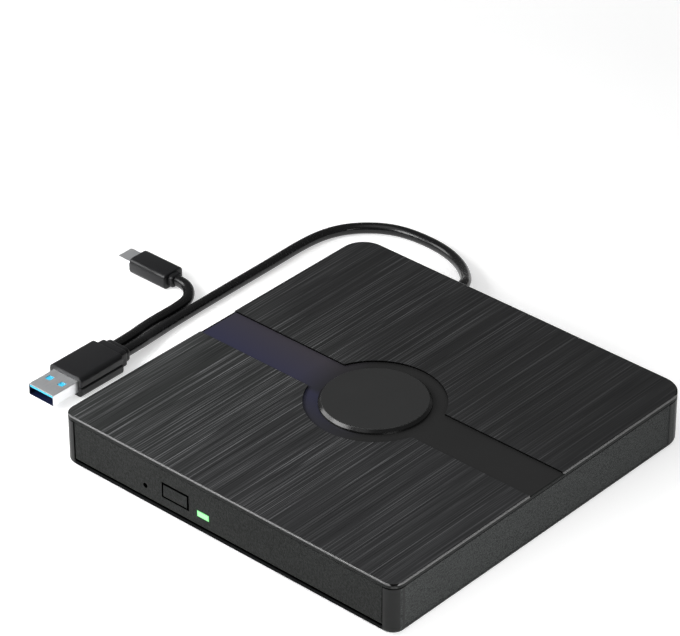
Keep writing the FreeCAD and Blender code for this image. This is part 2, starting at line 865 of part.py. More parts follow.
def eject_button():
    body = new_body("eject_button")
    wide = "button_half - button_gap"
    tall = "button_half_height - button_gap"
    cap = rectangle(
        (f"button_x - ({wide})", f"button_x + {wide}"), (f"button_z - ({tall})", f"button_z + {tall}")
    )
    cap_front = "bezel_face - button_proud"
    cap_rear = "bezel_face + bezel_skin + 0.12"
    pad(body, polygons(body, "XZ_Plane", f"-({cap_rear})", cap), f"{cap_rear} - ({cap_front})")
    front = value(cap_front)
    fillet(body, "0.25", lambda edge: abs(edge.BoundBox.YMax - front) < 0.01)
    lip = "flange_lip"
    flange = rectangle(
        (f"button_x - ({wide} + {lip})", f"button_x + {wide} + {lip}"),
        (f"button_z - ({tall} + {lip})", f"button_z + {tall} + {lip}"),
    )
    pad(body, polygons(body, "XZ_Plane", f"-({cap_rear})", flange), "flange_thick", True)
    stem = circles(body, "XZ_Plane", "-stem_end", "stem_radius", ("button_x", "stem_z"))
    pad(body, stem, f"stem_end - ({cap_rear})")
    return body


def on_board(name, level):
    """A board component's block, standing on the board's top."""
    return block(
        (f"{name}_left", f"{name}_right"),
        (f"{name}_front", f"{name}_rear"),
        (level, f"{level} + {name}_height"),
    )


def tray_electronics():
    lamp_across = ("lamp_x - lamp_half + lamp_gap", "lamp_x + lamp_half - lamp_gap")
    lamp_low = "lamp_z - lamp_half_height + lamp_gap"
    lamp_high = "lamp_z + lamp_half_height - lamp_gap"
    pipe = block(lamp_across, ("bezel_face - 0.05", "board_front + 1"), (lamp_low, lamp_high))
    lamp = block(lamp_across, ("board_front + 0.1", "board_front + 1"), ("board_high", lamp_low))
    keep(fuse(pipe, lamp), "led_lens")
    board = block(("-board_half", "board_half"), ("board_front", "board_rear"), ("board_low", "board_high"))
    keep(board, "control_board")
    chips = ("servo_chip", "memory_chip", "driver_chip", "ribbon_socket", "coil")
    keep(group(*(on_board(name, "board_high") for name in chips)), "control_chips")
    case_front = "board_front + 0.5"
    case = block(
        ("button_x - switch_half", "button_x + switch_half"),
        (case_front, f"{case_front} + switch_depth"),
        ("board_high", "board_high + switch_height"),
    )
    key = rod("key_radius", "y", "stem_end + flange_space + 0.1", case_front, ("button_x", "stem_z"))
    keep(fuse(case, key), "eject_switch")
    lay = ("ribbon_left", "ribbon_right")
    lower = block(lay, ("ribbon_fold", "ribbon_fixed_end"), ("ribbon_low", "ribbon_low + ribbon"))
    upper = block(lay, ("ribbon_fold", "ribbon_tray_end"), ("ribbon_high - ribbon", "ribbon_high"))
    fold = block(lay, ("ribbon_fold - ribbon", "ribbon_fold"), ("ribbon_low", "ribbon_high"))
    keep(fuse(lower, upper, fold), "ribbon_cable")


# Traverse, spindle and pickup, drawn with +X along the pickup's travel

def swing_out(solid, label):
    """Turns a traverse piece about the spindle into its place on the tray."""
    keep(solid, label)
    solid.Placement = Placement(Vector(0, value("spindle_y"), 0), Rotation(Vector(0, 0, 1), value("swing")))
    solid.setExpression("Placement.Base.y", formula("spindle_y"))
    solid.setExpression("Placement.Rotation.Angle", formula("swing"))
    return solid


DAMPERS = [("-damper_back", "-damper_side"), ("-damper_back", "damper_side"), ("ear_middle", "ear_line")]


def traverse():
    level = ("frame_low", "frame_high")
    through = ("frame_low - 1", "frame_high + 1")
    plate = fuse(
        rod("frame_disc", "z", *level, ("0", "0")),
        block(("0", "frame_tip"), ("-frame_half", "frame_half"), level),
        block(("can_end - 1", "rail_tip"), ("screw_line - rail_half", "-frame_half"), level),
        block(
            ("ear_middle - ear_half", "ear_middle + ear_half"), ("frame_half", "ear_line + ear_half"), level
        ),
    )
    window = block(("window_start", "window_tip"), ("-window_half", "window_half"), through)
    motor_seat = rod("motor_hole", "z", *through, ("0", "0"))
    screw_gap = "(feed_radius + 0.3)"
    bay_across = (f"screw_line - {screw_gap}", f"screw_line + {screw_gap}")
    screw_bay = block(("can_end - 1", "feed_end"), bay_across, through)
    can_bay = block(("-0.6", "can_end"), ("screw_line - rail_half", "screw_line + rail_half"), through)
    holes = [rod("damper_hole", "z", *through, centre) for centre in DAMPERS]
    swing_out(cut(plate, window, motor_seat, screw_bay, can_bay, *holes), "traverse_frame")

    dampers = []
    for centre in DAMPERS:
        lower = rod("damper_hole + damper_lip", "z", "frame_low - damper_lip", "frame_low", centre)
        neck = rod("damper_hole - 0.05", "z", *level, centre)
        upper = rod("damper_hole + damper_lip", "z", "frame_high", "plate_low", centre)
        dampers.append(fuse(lower, neck, upper))
    swing_out(group(*dampers), "rubber_dampers")

    rods = [
        rod("rod_radius", "x", "window_start", "window_tip", (f"{side} * rod_offset", "rod_level"))
        for side in (-1, 1)
    ]
    swing_out(group(*rods), "guide_rods")

    sheet_level = ("plate_low - lid_thick", "plate_low")
    above_below = ("plate_low - lid_thick - 1", "plate_low + 1")
    lid = fuse(
        rod("frame_disc - 2", "z", *sheet_level, ("0", "0")),
        block(("0", "window_tip"), ("-frame_half", "frame_half"), sheet_level),
    )
    ports = [
        rod("rotor_radius + 1", "z", *above_below, ("0", "0")),
        block(("rotor_radius - 2", "window_tip - 1"), ("-slot_half", "slot_half"), above_below),
    ]
    ports += [rod("damper_hole + damper_lip + 0.1", "z", *above_below, centre) for centre in DAMPERS[:2]]
    swing_out(cut(lid, *ports), "traverse_cover")

    axis = ("screw_line", "screw_level")
    can = rod("can_radius", "x", "0", "can_end", axis)
    swing_out(cut(can, rod("feed_pivot + 0.08", "x", "can_end - 1.2", "can_end + 1", axis)), "feed_motor")

    screw = doc.addObject("Part::Feature", "feed_screw")
    screw.Shape = feed_screw_shape()
    swing_out(screw, "feed_screw")


def feed_screw_shape():
    """A lead screw: a shaft with a shallow square groove for every turn of the pitch."""
    radius = value("feed_radius")
    groove = value("feed_groove")
    pitch = value("feed_pitch")
    centre = Vector(value("feed_start"), value("screw_line"), value("screw_level"))
    length = value("feed_end - feed_start - 0.3")
    shaft = Part.makeCylinder(radius, length, centre, Vector(1, 0, 0))
    start = centre.x + pitch
    while start < centre.x + length - pitch:
        place = Vector(start, centre.y, centre.z)
        ring = Part.makeCylinder(radius + 0.5, pitch / 3, place, Vector(1, 0, 0))
        core = Part.makeCylinder(radius - groove, pitch / 3, place, Vector(1, 0, 0))
        shaft = shaft.cut(ring.cut(core))
        start += pitch
    pivot = Part.makeCylinder(value("feed_pivot"), 1.2, centre - Vector(1.2, 0, 0), Vector(1, 0, 0))
    return shaft.fuse(pivot).removeSplitter()


def spindle():
    base = fuse(
        rod("base_radius", "z", "base_low", "frame_low", ("0", "0")),
        rod("motor_hole - 0.05", "z", "frame_low", "base_high", ("0", "0")),
    )
    bore = rod("shaft_radius + 0.05", "z", "base_low + 0.4", "base_high + 1", ("0", "0"))
    swing_out(cut(base, bore), "spindle_motor_base")

    points = [
        ("0", "base_low + 0.6"),
        ("shaft_radius", "base_low + 0.6"),
        ("shaft_radius", "rotor_low"),
        ("rotor_radius", "rotor_low"),
        ("rotor_radius", "rotor_high"),
        ("hub_radius", "rotor_high"),
        ("hub_radius", "hub_top - 0.8"),
        ("hub_radius - 0.9", "hub_top"),
        ("2.2", "hub_top"),
        ("2.2", "hub_top - 0.9"),
        ("0", "hub_top - 0.9"),
    ]
    rotor = revolved("spindle_rotor", "XZ_Plane", points, ("0", "spindle_y", "0"))
    gap = "claw_gap"
    slots = []
    for turn in range(3):
        angle = math.radians(120 * turn + 90)
        ahead = Vector(math.cos(angle), math.sin(angle), 0)
        aside = Vector(-math.sin(angle), math.cos(angle), 0)
        near = value(f"claw_inner - {gap} - 1")
        far = value("hub_radius + 1")
        half = value(f"claw_half + {gap}")
        loop = []
        for reach, offset in ((near, -half), (far, -half), (far, half), (near, half)):
            point = ahead * reach + aside * offset
            loop.append((str(round(point.x, 5)), str(round(point.y, 5))))
        slots.append(loop)
    sketch = polygons(rotor, "XY_Plane", f"claw_low - {gap}", *slots)
    pocket(rotor, sketch, f"claw_high - claw_low + 2 * {gap}", True)

    ring = cut(
        rod("rotor_radius", "z", "rotor_high", "turntable", ("0", "spindle_y")),
        rod("rotor_radius - 2.2", "z", "rotor_high - 1", "turntable + 1", ("0", "spindle_y")),
    )
    keep(ring, "turntable_pad")

    for turn in range(3):
        claw = block(("claw_inner", "claw_outer"), ("-claw_half", "claw_half"), ("claw_low", "claw_high"))
        nose = rounded(claw, "0.4", both(along("y"), towards("x", 1, "7")))
        keep(nose, f"chuck_claw_{turn + 1}")
        nose.Placement = Placement(
            Vector(0, value("spindle_y"), 0), Rotation(Vector(0, 0, 1), 120 * turn + 90)
        )
        nose.setExpression("Placement.Base.y", formula("spindle_y"))


def pickup():
    span = ("pickup_start - pickup_behind", "pickup_start + pickup_ahead")
    sled = block(span, ("-pickup_half", "pickup_half"), ("pickup_low", "pickup_floor"))
    cheek_span = ("pickup_start - cheek_run", "pickup_start + cheek_run")
    cheeks = []
    for side in (-1, 1):
        across = mirrored(side, "cheek_middle - cheek_half", "cheek_middle + cheek_half")
        cheeks.append(block(cheek_span, across, ("pickup_floor", "cheek_top")))
    arm_span = ("pickup_start - arm_half", "pickup_start + arm_half")
    arm = block(arm_span, ("screw_line - 0.2", "1 - pickup_half"), ("arm_low", "arm_high"))
    riser = block(arm_span, ("-pickup_half", "1 - pickup_half"), ("pickup_floor", "arm_low"))
    reach = ("pickup_start - 10", "pickup_start + 10")
    bores = [
        rod("rod_radius + running_gap", "x", *reach, (f"{side} * rod_offset", "rod_level"))
        for side in (-1, 1)
    ]
    swing_out(cut(fuse(sled, *cheeks, arm, riser), *bores), "pickup_carriage")

    under_sled = ("laser_low", "pickup_low")
    blue = block(("pickup_start - 4.6", "pickup_start + 1.5"), ("4", "8.6"), under_sled)
    red = block(("pickup_start - 4.9", "pickup_start - 1"), ("-7.6", "-4.4"), under_sled)
    swing_out(group(blue, red), "laser_modules")

    holder = block(
        ("pickup_start - holder_half", "pickup_start + holder_half"),
        ("-holder_half_width", "holder_half_width"),
        ("holder_low", "holder_high"),
    )
    seat = rod("lens_radius", "z", "holder_low - 1", "holder_high + 1", ("pickup_start", "0"))
    swing_out(cut(holder, seat), "lens_holder")
    glass = doc.addObject("Part::Feature", "objective_lens")
    glass.Shape = objective_shape()
    swing_out(glass, "objective_lens")


def objective_shape():
    """A plano-convex lens: a short drum under a spherical cap."""
    axis = value("pickup_start")
    edge = axis + value("lens_radius")
    low = value("lens_low")
    shoulder = value("lens_shoulder")
    crown = value("lens_crown")
    rise = crown - shoulder
    sphere = (value("lens_radius") ** 2 + rise ** 2) / (2 * rise)
    midway = value("lens_radius") / 2
    profile = Part.Wire(
        [
            Part.makeLine(Vector(axis, 0, low), Vector(edge, 0, low)),
            Part.makeLine(Vector(edge, 0, low), Vector(edge, 0, shoulder)),
            Part.Arc(
                Vector(edge, 0, shoulder),
                Vector(axis + midway, 0, crown - sphere + math.sqrt(sphere ** 2 - midway ** 2)),
                Vector(axis, 0, crown),
            ).toShape(),
            Part.makeLine(Vector(axis, 0, crown), Vector(axis, 0, low)),
        ]
    )
    return Part.Face(profile).revolve(Vector(axis, 0, 0), Vector(0, 0, 1), 360)


# Closing latch: the lever swings about its pin on the tray and its hook goes behind the fixed post

def latch():
    level = ("lever_low", "lever_high")
    arm = fuse(
        rod("lever_boss", "z", *level, ("0", "0")),
        block(("-lever_half", "lever_half"), ("-lever_arm", "0"), level),
        block(("-hook_reach", "lever_half"), ("-hook_front", "-hook_rear"), level),
        block(("0", "pull_reach"), ("-pull_half", "pull_half"), level),
    )
    bore = rod("pivot_radius + 0.06", "z", "lever_low - 1", "lever_high + 1", ("0", "0"))
    lever = keep(cut(arm, bore), "latch_lever")
    lever.Placement = Placement(Vector(), Rotation(Vector(0, 0, 1), value("lever_release")))
    lever.setExpression("Placement.Base.x", formula("pivot_x"))
    lever.setExpression("Placement.Base.y", formula("pivot_y"))
    lever.setExpression("Placement.Rotation.Angle", formula("lever_release"))

    pivot = ("pivot_x", "pivot_y")
    collar = rod("pin_collar", "z", "tray_low", "lever_low - 0.2", pivot)
    keep(fuse(rod("pivot_radius", "z", "tray_low", "plate_low", pivot), collar), "latch_pin")

    front = "pivot_y + solenoid_front"
    coil_x = "pivot_x + pull_reach"
    line = (coil_x, "plunger_z")
    coil = block(
        (f"{coil_x} - solenoid_half", f"{coil_x} + solenoid_half"),
        (front, f"{front} + solenoid_length"),
        ("solenoid_low", "solenoid_high"),
    )
    bore = rod("plunger_radius + running_gap", "y", f"{front} - 1", f"{front} + plunger_depth + 2", line)
    keep(cut(coil, bore), "latch_solenoid")
    head_front = "pivot_y + plunger_front"
    stem = rod("plunger_radius", "y", head_front, f"{front} + plunger_depth", line)
    head = rod("plunger_head", "y", head_front, f"{head_front} + 0.8", line)
    keep(fuse(stem, head), "latch_plunger")


# Bridge board behind the drive

def bridge():
    board = block(
        ("bridge_left", "bridge_right"), ("bridge_front", "bridge_rear"), ("bridge_low", "bridge_high")
    )
    holes = [rod("screw_hole", "z", "bridge_low - 1", "bridge_high + 1", centre) for centre in BRIDGE_SCREWS]
    keep(cut(board, *holes), "bridge_board")
    top = "bridge_high"
    keep(group(*(on_board(name, top) for name in ("bridge_chip", "crystal", "regulator"))), "bridge_chips")
    housing = block(
        ("serial_left", "serial_right"), ("drive_rear", "bridge_front + 2.4"), (top, f"{top} + serial_height")
    )
    skirt_across = ("serial_left + 2", "serial_right - 2")
    skirt = block(skirt_across, ("drive_rear + 0.3", "bridge_front"), (f"{top} - 0.9", top))
    keep(fuse(housing, skirt), "sata_connector")
    screws = []
    for centre in BRIDGE_SCREWS:
        head = rod("bridge_screw_head", "z", top, f"{top} + 0.9", centre)
        shank = rod("screw_radius", "z", "bridge_screw_low", top, centre)
        screws.append(fuse(head, shank))
    keep(group(*screws), "board_screws")


# Lead and plugs

def strain_relief():
    """Turned about Y: a flange inside the rear wall, a neck in its hole and a taper around the lead."""
    inside = "case_depth / 2 - wall"
    outside = "case_depth / 2"
    collar_end = f"{outside} + relief_collar_length"
    points = [
        ("0", f"{inside} - relief_flange_thick"),
        ("relief_flange", f"{inside} - relief_flange_thick"),
        ("relief_flange", inside),
        ("relief_hole - 0.05", inside),
        ("relief_hole - 0.05", outside),
        ("relief_collar", outside),
        ("relief_collar", collar_end),
        ("relief_root", f"{collar_end} + 0.4"),
        ("relief_end", "relief_tip"),
        ("0", "relief_tip"),
    ]
    return revolved("strain_relief", "XY_Plane", points, ("exit_x", "0", "exit_z"))


LEAD_ROUTE = [
    (-38.0, 81.5, 6.4),
    (-38.0, 90.0, 6.4),
    (-43.2, 98.0, 4.1),
    (-53.5, 106.2, 2.3),
    (-65.0, 109.9, 2.1),
    (-79.0, 110.0, 2.1),
    (-88.7, 107.3, 2.1),
    (-97.2, 100.8, 2.1),
    (-102.8, 92.2, 2.1),
    (-105.1, 80.5, 2.1),
    (-104.6, 60.0, 2.1),
    (-104.5, 32.0, 2.1),
    (-104.0, 9.0, 2.1),
    (-103.0, -2.5, 2.4),
    (-100.9, -11.5, 4.0),
    (-100.9, -18.4, 4.0),
]

BRANCH_ROUTE = [
    (-106.0, -18.4, 4.0),
    (-106.0, -11.5, 4.0),
    (-109.2, 1.0, 2.2),
    (-109.1, 15.0, 2.1),
    (-109.6, 21.4, 2.3),
    (-111.3, 24.8, 2.6),
    (-114.0, 27.3, 2.9),
    (-117.4, 28.6, 3.1),
    (-120.9, 28.6, 3.1),
]


def tube(label, route, radius):
    """A round lead along straight runs joined by tangent arcs."""
    points = [Vector(*place) for place in route]
    edges = []
    start = points[0]
    radii = []
    for before, corner, after in zip(points, points[1:], points[2:]):
        back = before - corner
        ahead = after - corner
        turn = math.pi - back.getAngle(ahead)
        reach = 0.45 * min(back.Length, ahead.Length)
        radii.append(round(reach / math.tan(turn / 2), 1))
        back.normalize()
        ahead.normalize()
        first = corner + back * reach
        last = corner + ahead * reach
        inward = back + ahead
        inward.normalize()
        bend = reach / math.tan(turn / 2)
        middle = corner + inward * (bend / math.cos(turn / 2) - bend)
        edges.append(Part.LineSegment(start, first).toShape())
        edges.append(Part.Arc(first, middle, last).toShape())
        start = last
    edges.append(Part.LineSegment(start, points[-1]).toShape())
    path = Part.Wire(edges)
    ring = Part.Wire([Part.makeCircle(radius, points[0], points[1] - points[0])])
    lead = doc.addObject("Part::Feature", label)
    lead.Shape = path.makePipeShell([ring], True, False)
    expected = math.pi * radius ** 2 * path.Length
    share = lead.Shape.Volume / expected
    print(f"{label}: length {path.Length:.1f}, bend radii {radii}, volume {share:.4f} of expected")
    return keep(lead, label)


def usb_a_plug():
    body = new_body("usb_a_body")
    wide = ("plug_x - plug_half", "plug_x + plug_half")
    tall = ("plug_z - plug_half_height", "plug_z + plug_half_height")
    grip = rectangle(wide, tall)
    pad(body, polygons(body, "XZ_Plane", "-plug_rear", grip), "plug_rear - plug_front")
    fillet(body, "2.3", along("y"))
    front = value("plug_front")
    rear = value("plug_rear")
    fillet(body, "0.7", lambda edge: edge.BoundBox.YMax < front + 0.01 or edge.BoundBox.YMin > rear - 0.01)
    neck = rectangle(
        ("plug_x - neck_half", "plug_x + neck_half"),
        ("plug_z - neck_half_height", "plug_z + neck_half_height"),
    )
    neck_end = "plug_rear + neck_step"
    pad(body, polygons(body, "XZ_Plane", f"-({neck_end})", neck), "neck_step + 0.5")
    within = value("plug_rear - 0.05")
    fillet(body, "1.6", both(along("y"), lambda edge: edge.BoundBox.YMin > within))
    bead = rectangle(
        ("plug_x - bead_half", "plug_x + bead_half"),
        ("plug_z - bead_half_height", "plug_z + bead_half_height"),
    )
    pad(body, polygons(body, "XZ_Plane", "-neck_rear", bead), f"neck_rear - ({neck_end}) + 0.5")
    past = value(neck_end) - 0.05
    fillet(body, "1.8", both(along("y"), lambda edge: edge.BoundBox.YMin > past))
    end = value("neck_rear")
    fillet(body, "0.6", lambda edge: abs(edge.BoundBox.YMin - end) < 0.01)
    grooves = []
    for side in (-1, 1):
        sides = (f"plug_x + {side} * (plug_half - 0.35)", f"plug_x + {side} * (plug_half + 1)")
        across = sorted(sides, key=value)
        grooves.append(rectangle(across, ("plug_z - 0.35", "plug_z + 0.35")))
    pocket(body, polygons(body, "XZ_Plane", "-plug_front", *grooves), "plug_rear - plug_front")

    tip = "plug_front - shell_length"
    inner = "shell_half - shell_wall"
    inner_tall = "shell_half_height - shell_wall"
    shell = rounded(
        block(
            ("plug_x - shell_half", "plug_x + shell_half"),
            (tip, "plug_front"),
            ("plug_z - shell_half_height", "plug_z + shell_half_height"),
        ),
        "0.35",
        along("y"),
    )
    hollow = block(
        (f"plug_x - ({inner})", f"plug_x + {inner}"),
        (f"{tip} - 1", "plug_front + 1"),
        (f"plug_z - ({inner_tall})", f"plug_z + {inner_tall}"),
    )
    windows = [
        block(
            (f"plug_x + {middle} - shell_window", f"plug_x + {middle} + shell_window"),
            ("shell_window_y - shell_window", "shell_window_y + shell_window"),
            ("plug_z - 4", "plug_z + 4"),
        )
        for middle in ("-shell_window_x", "shell_window_x")
    ]
    keep(cut(shell, hollow, *windows), "usb_a_shell")

    tongue_top = f"plug_z + {inner_tall}"
    tongue = block(
        (f"plug_x - ({inner})", f"plug_x + {inner}"),
        (f"{tip} + 0.3", "plug_front"),
        (f"{tongue_top} - tongue_thick", tongue_top),
    )
    keep(tongue, "usb_a_tongue")
    contacts = [
        block(
            (f"plug_x + ({place}) - contact_half", f"plug_x + ({place}) + contact_half"),
            (f"{tip} + 1", "plug_front"),
            (f"{tongue_top} - tongue_thick - contact_thick", f"{tongue_top} - tongue_thick"),
        )
        for place in ("-contact_outer", "-contact_inner", "contact_inner", "contact_outer")
    ]
    keep(group(*contacts), "usb_a_contacts")


def type_c_plug():
    body = new_body("type_c_body")
    across = ("typec_y - typec_half", "typec_y + typec_half")
    tall = ("typec_z - typec_half_height", "typec_z + typec_half_height")
    pad(body, polygons(body, "YZ_Plane", "typec_front", rectangle(across, tall)), "typec_rear - typec_front")
    fillet(body, "2.4", along("x"))
    front = value("typec_front")
    rear = value("typec_rear")
    fillet(body, "0.6", lambda edge: edge.BoundBox.XMax < front + 0.01 or edge.BoundBox.XMin > rear - 0.01)
    neck = rectangle(
        ("typec_y - typec_neck_half", "typec_y + typec_neck_half"),
        ("typec_z - typec_neck_half_height", "typec_z + typec_neck_half_height"),
    )
    pad(body, polygons(body, "YZ_Plane", "typec_rear - 0.5", neck), "typec_neck - typec_rear + 0.5")
    within = value("typec_rear - 0.05")
    fillet(body, "1.4", both(along("x"), lambda edge: edge.BoundBox.XMin > within))
    end = value("typec_neck")
    fillet(body, "0.4", lambda edge: abs(edge.BoundBox.XMin - end) < 0.01)

    def sleeve(half, half_height, low, high, radius):
        bar = block(
            (low, high),
            (f"typec_y - ({half})", f"typec_y + {half}"),
            (f"typec_z - ({half_height})", f"typec_z + {half_height}"),
        )
        return rounded(bar, radius, along("x"))

    tip = "typec_front - typec_shell"
    outside = sleeve("typec_shell_half", "typec_shell_half_height", tip, "typec_front", "1.22")
    hollow = sleeve(
        "typec_shell_half - typec_shell_wall",
        "typec_shell_half_height - typec_shell_wall",
        f"{tip} - 1",
        "typec_front + 1",
        "0.98",
    )
    keep(cut(outside, hollow), "type_c_shell")
    core = sleeve(
        "typec_shell_half - typec_shell_wall",
        "typec_shell_half_height - typec_shell_wall",
        f"{tip} + 0.4",
        "typec_front",
        "0.98",
    )
    mouth = sleeve("typec_slot_half", "typec_slot_half_height", tip, "typec_front - 1.2", "0.2")
    keep(cut(core, mouth), "type_c_insulator")


bottom_case()
top_cover()
centre_disc()
case_fasteners()
drive_shell()
slides()
tray()
tray_under_cover()
tray_bezel()
eject_button()
tray_electronics()
traverse()
spindle()
pickup()
latch()
bridge()
strain_relief()
tube("usb_cable", LEAD_ROUTE, value("lead_radius"))
tube("type_c_branch", BRANCH_ROUTE, value("lead_radius"))
usb_a_plug()
type_c_plug()
doc.recompute()

for item in doc.Objects:
    if "Invalid" in item.State or "Error" in item.State:
        raise RuntimeError(f"{item.Label} did not recompute: {item.State}")
for node in NODES:
    if node.Shape.isNull() or not node.Shape.isValid():
        raise RuntimeError(f"{node.Label} has no valid shape")

os.makedirs("parts", exist_ok=True)
for node in NODES:
    node.Shape.exportStep(f"parts/{node.Label}.step")
print(len(NODES), "sub-parts written")
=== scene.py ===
import math

import bmesh
import bpy
from mathutils import Matrix, Vector

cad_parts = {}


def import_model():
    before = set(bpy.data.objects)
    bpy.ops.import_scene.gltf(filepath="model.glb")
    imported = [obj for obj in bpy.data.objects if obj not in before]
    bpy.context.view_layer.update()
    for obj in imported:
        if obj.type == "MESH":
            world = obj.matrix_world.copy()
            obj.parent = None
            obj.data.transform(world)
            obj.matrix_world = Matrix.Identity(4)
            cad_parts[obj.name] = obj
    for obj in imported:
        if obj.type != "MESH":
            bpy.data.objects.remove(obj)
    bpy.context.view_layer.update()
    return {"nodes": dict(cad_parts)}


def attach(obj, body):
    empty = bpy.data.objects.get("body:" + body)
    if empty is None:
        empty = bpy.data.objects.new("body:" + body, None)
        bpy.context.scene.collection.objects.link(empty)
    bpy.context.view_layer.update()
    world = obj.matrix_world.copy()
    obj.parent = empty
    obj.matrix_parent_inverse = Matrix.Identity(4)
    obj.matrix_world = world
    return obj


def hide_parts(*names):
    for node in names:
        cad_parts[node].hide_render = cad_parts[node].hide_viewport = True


# An external disc drive on a pale table, seen from its front right corner. Metres, as in the frame.

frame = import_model()
NODES = frame["nodes"]
MM = 0.001

# Plugs, in millimetres

USB_A_X = -103.4
USB_A_Z = 4.0
USB_A_FRONT = -44.8
USB_A_REAR = -24.4
USB_A_NECK_END = -18.4
USB_A_STEP = 3.7
TYPE_C_Y = 28.6
TYPE_C_Z = 3.1
TYPE_C_FRONT = -140.6
TYPE_C_REAR = -122.8
TYPE_C_NECK_END = -120.9
NECK_OVERLAP = 0.8
SHELL_INNER_HALF = 5.85 * MM
SHELL_INNER_HALF_HEIGHT = 2.10 * MM

# Camera

CAMERA_PLACE = (0.67691, -0.77129, 0.71249)
CAMERA_AZIMUTH = math.radians(41.955)
CAMERA_ELEVATION = math.radians(32.750)
CAMERA_ROLL = math.radians(-0.137)
CAMERA_LENS = 196.09


def make_camera():
    """The photo's camera, solved from the edges of the case."""
    camera = bpy.data.objects.new("camera", bpy.data.cameras.new("camera"))
    camera.data.lens = CAMERA_LENS
    camera.data.clip_start = 0.05
    back = Vector(
        (
            math.sin(CAMERA_AZIMUTH) * math.cos(CAMERA_ELEVATION),
            -math.cos(CAMERA_AZIMUTH) * math.cos(CAMERA_ELEVATION),
            math.sin(CAMERA_ELEVATION),
        )
    )
    across = Vector((math.cos(CAMERA_AZIMUTH), math.sin(CAMERA_AZIMUTH), 0))
    upright = back.cross(across)
    turned = Matrix.Rotation(CAMERA_ROLL, 3, back)
    axes = Matrix((turned @ across, turned @ upright, back)).transposed()
    camera.matrix_world = Matrix.Translation(CAMERA_PLACE) @ axes.to_4x4()
    bpy.context.scene.collection.objects.link(camera)
    bpy.context.scene.camera = camera


# Mesh helpers

def finish_piece(mould, name, body="case", replaced=(), smooth_angle=35):
    """Turns a bmesh into a piece that rides on a body, with faces smooth up to an angle."""
    bmesh.ops.remove_doubles(mould, verts=mould.verts, dist=1e-6)
    bmesh.ops.recalc_face_normals(mould, faces=mould.faces)
    for face in mould.faces:
        face.smooth = True
    limit = math.radians(smooth_angle)
    for edge in mould.edges:
        if len(edge.link_faces) == 2 and edge.calc_face_angle(0) > limit:
            edge.smooth = False
    mesh = bpy.data.meshes.new(name)
    mould.to_mesh(mesh)
    mould.free()
    piece = bpy.data.objects.new(name, mesh)
    bpy.context.scene.collection.objects.link(piece)
    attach(piece, body)
    if replaced:
        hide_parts(*replaced)
    return piece


def turned_profile(points, steps=64):
    """Spins (radius, height) points about +Z."""
    mould = bmesh.new()
    verts = [mould.verts.new((radius, 0, height)) for radius, height in points]
    edges = [mould.edges.new(pair) for pair in zip(verts, verts[1:])]
    bmesh.ops.spin(
        mould, geom=verts + edges, cent=(0, 0, 0), axis=(0, 0, 1), angle=math.tau, steps=steps, use_merge=True
    )
    bmesh.ops.remove_doubles(mould, verts=mould.verts, dist=1e-6)
    return mould


def bevel(mould, edges, width, segments):
    bmesh.ops.bevel(
        mould, geom=edges, offset=width, offset_type="OFFSET", segments=segments, profile=0.5, affect="EDGES",
        clamp_overlap=True, material=-1,
    )


def join(moulds):
    """Puts several bmeshes into the first."""
    first = moulds[0]
    for other in moulds[1:]:
        mesh = bpy.data.meshes.new("joined")
        other.to_mesh(mesh)
        other.free()
        first.from_mesh(mesh)
        bpy.data.meshes.remove(mesh)
    return first


# Node groups for the effects that several materials share

def new_group(name, inputs, outputs):
    """A node group with its inputs and plain number outputs."""
    group = bpy.data.node_groups.new(name, "ShaderNodeTree")
    for label, kind, default in inputs:
        socket = group.interface.new_socket(name=label, in_out="INPUT", socket_type=f"NodeSocket{kind}")
        if default is not None:
            socket.default_value = default
    for label in outputs:
        group.interface.new_socket(name=label, in_out="OUTPUT", socket_type="NodeSocketFloat")
    start = group.nodes.new("NodeGroupInput")
    end = group.nodes.new("NodeGroupOutput")
    return group, start, end


def add(tree, kind, **settings):
    node = tree.nodes.new(f"ShaderNode{kind}")
    for name, setting in settings.items():
        setattr(node, name, setting)
    return node


def math_node(tree, operation, first, second=None):
    """One calculation, each of its numbers a plain value or a socket."""
    node = add(tree, "Math", operation=operation)
    for socket, given in zip(node.inputs, (first, second)):
        if given is None:
            continue
        if isinstance(given, (int, float)):
            socket.default_value = given
        else:
            tree.links.new(given, socket)
    return node.outputs[0]


def noise(tree, vector, scale, detail=2.0, roughness=0.5):
    node = add(tree, "TexNoise")
    tree.links.new(vector, node.inputs["Vector"])
    node.inputs["Scale"].default_value = scale
    node.inputs["Detail"].default_value = detail
    node.inputs["Roughness"].default_value = roughness
    return node.outputs["Fac"]


def stretched(tree, vector, scale):
    node = add(tree, "Mapping", vector_type="POINT")
    tree.links.new(vector, node.inputs["Vector"])
    node.inputs["Scale"].default_value = scale
    return node.outputs["Vector"]


def remap(tree, number, low, high, new_low=0.0, new_high=1.0):
    """Carries one range of numbers over to another, held at its ends."""
    node = add(tree, "MapRange", clamp=True)
    tree.links.new(number, node.inputs["Value"])
    for label, setting in (("From Min", low), ("From Max", high), ("To Min", new_low), ("To Max", new_high)):
        node.inputs[label].default_value = setting
    return node.outputs["Result"]


# Brushed lines, in metres: the step between lines and half a line's width. The shifts keep the sets apart.

BOLD_STEP, BOLD_HALF = 0.0010, 0.00011
SLIGHT_STEP, SLIGHT_HALF, SLIGHT_SHIFT = 0.0006, 0.00010, 0.17
DARK_STEP, DARK_HALF, DARK_SHIFT = 0.0008, 0.00012, 0.31
GAPS_PER_METRE = 24.0
SPREAD_OF_STARTS = 80.0


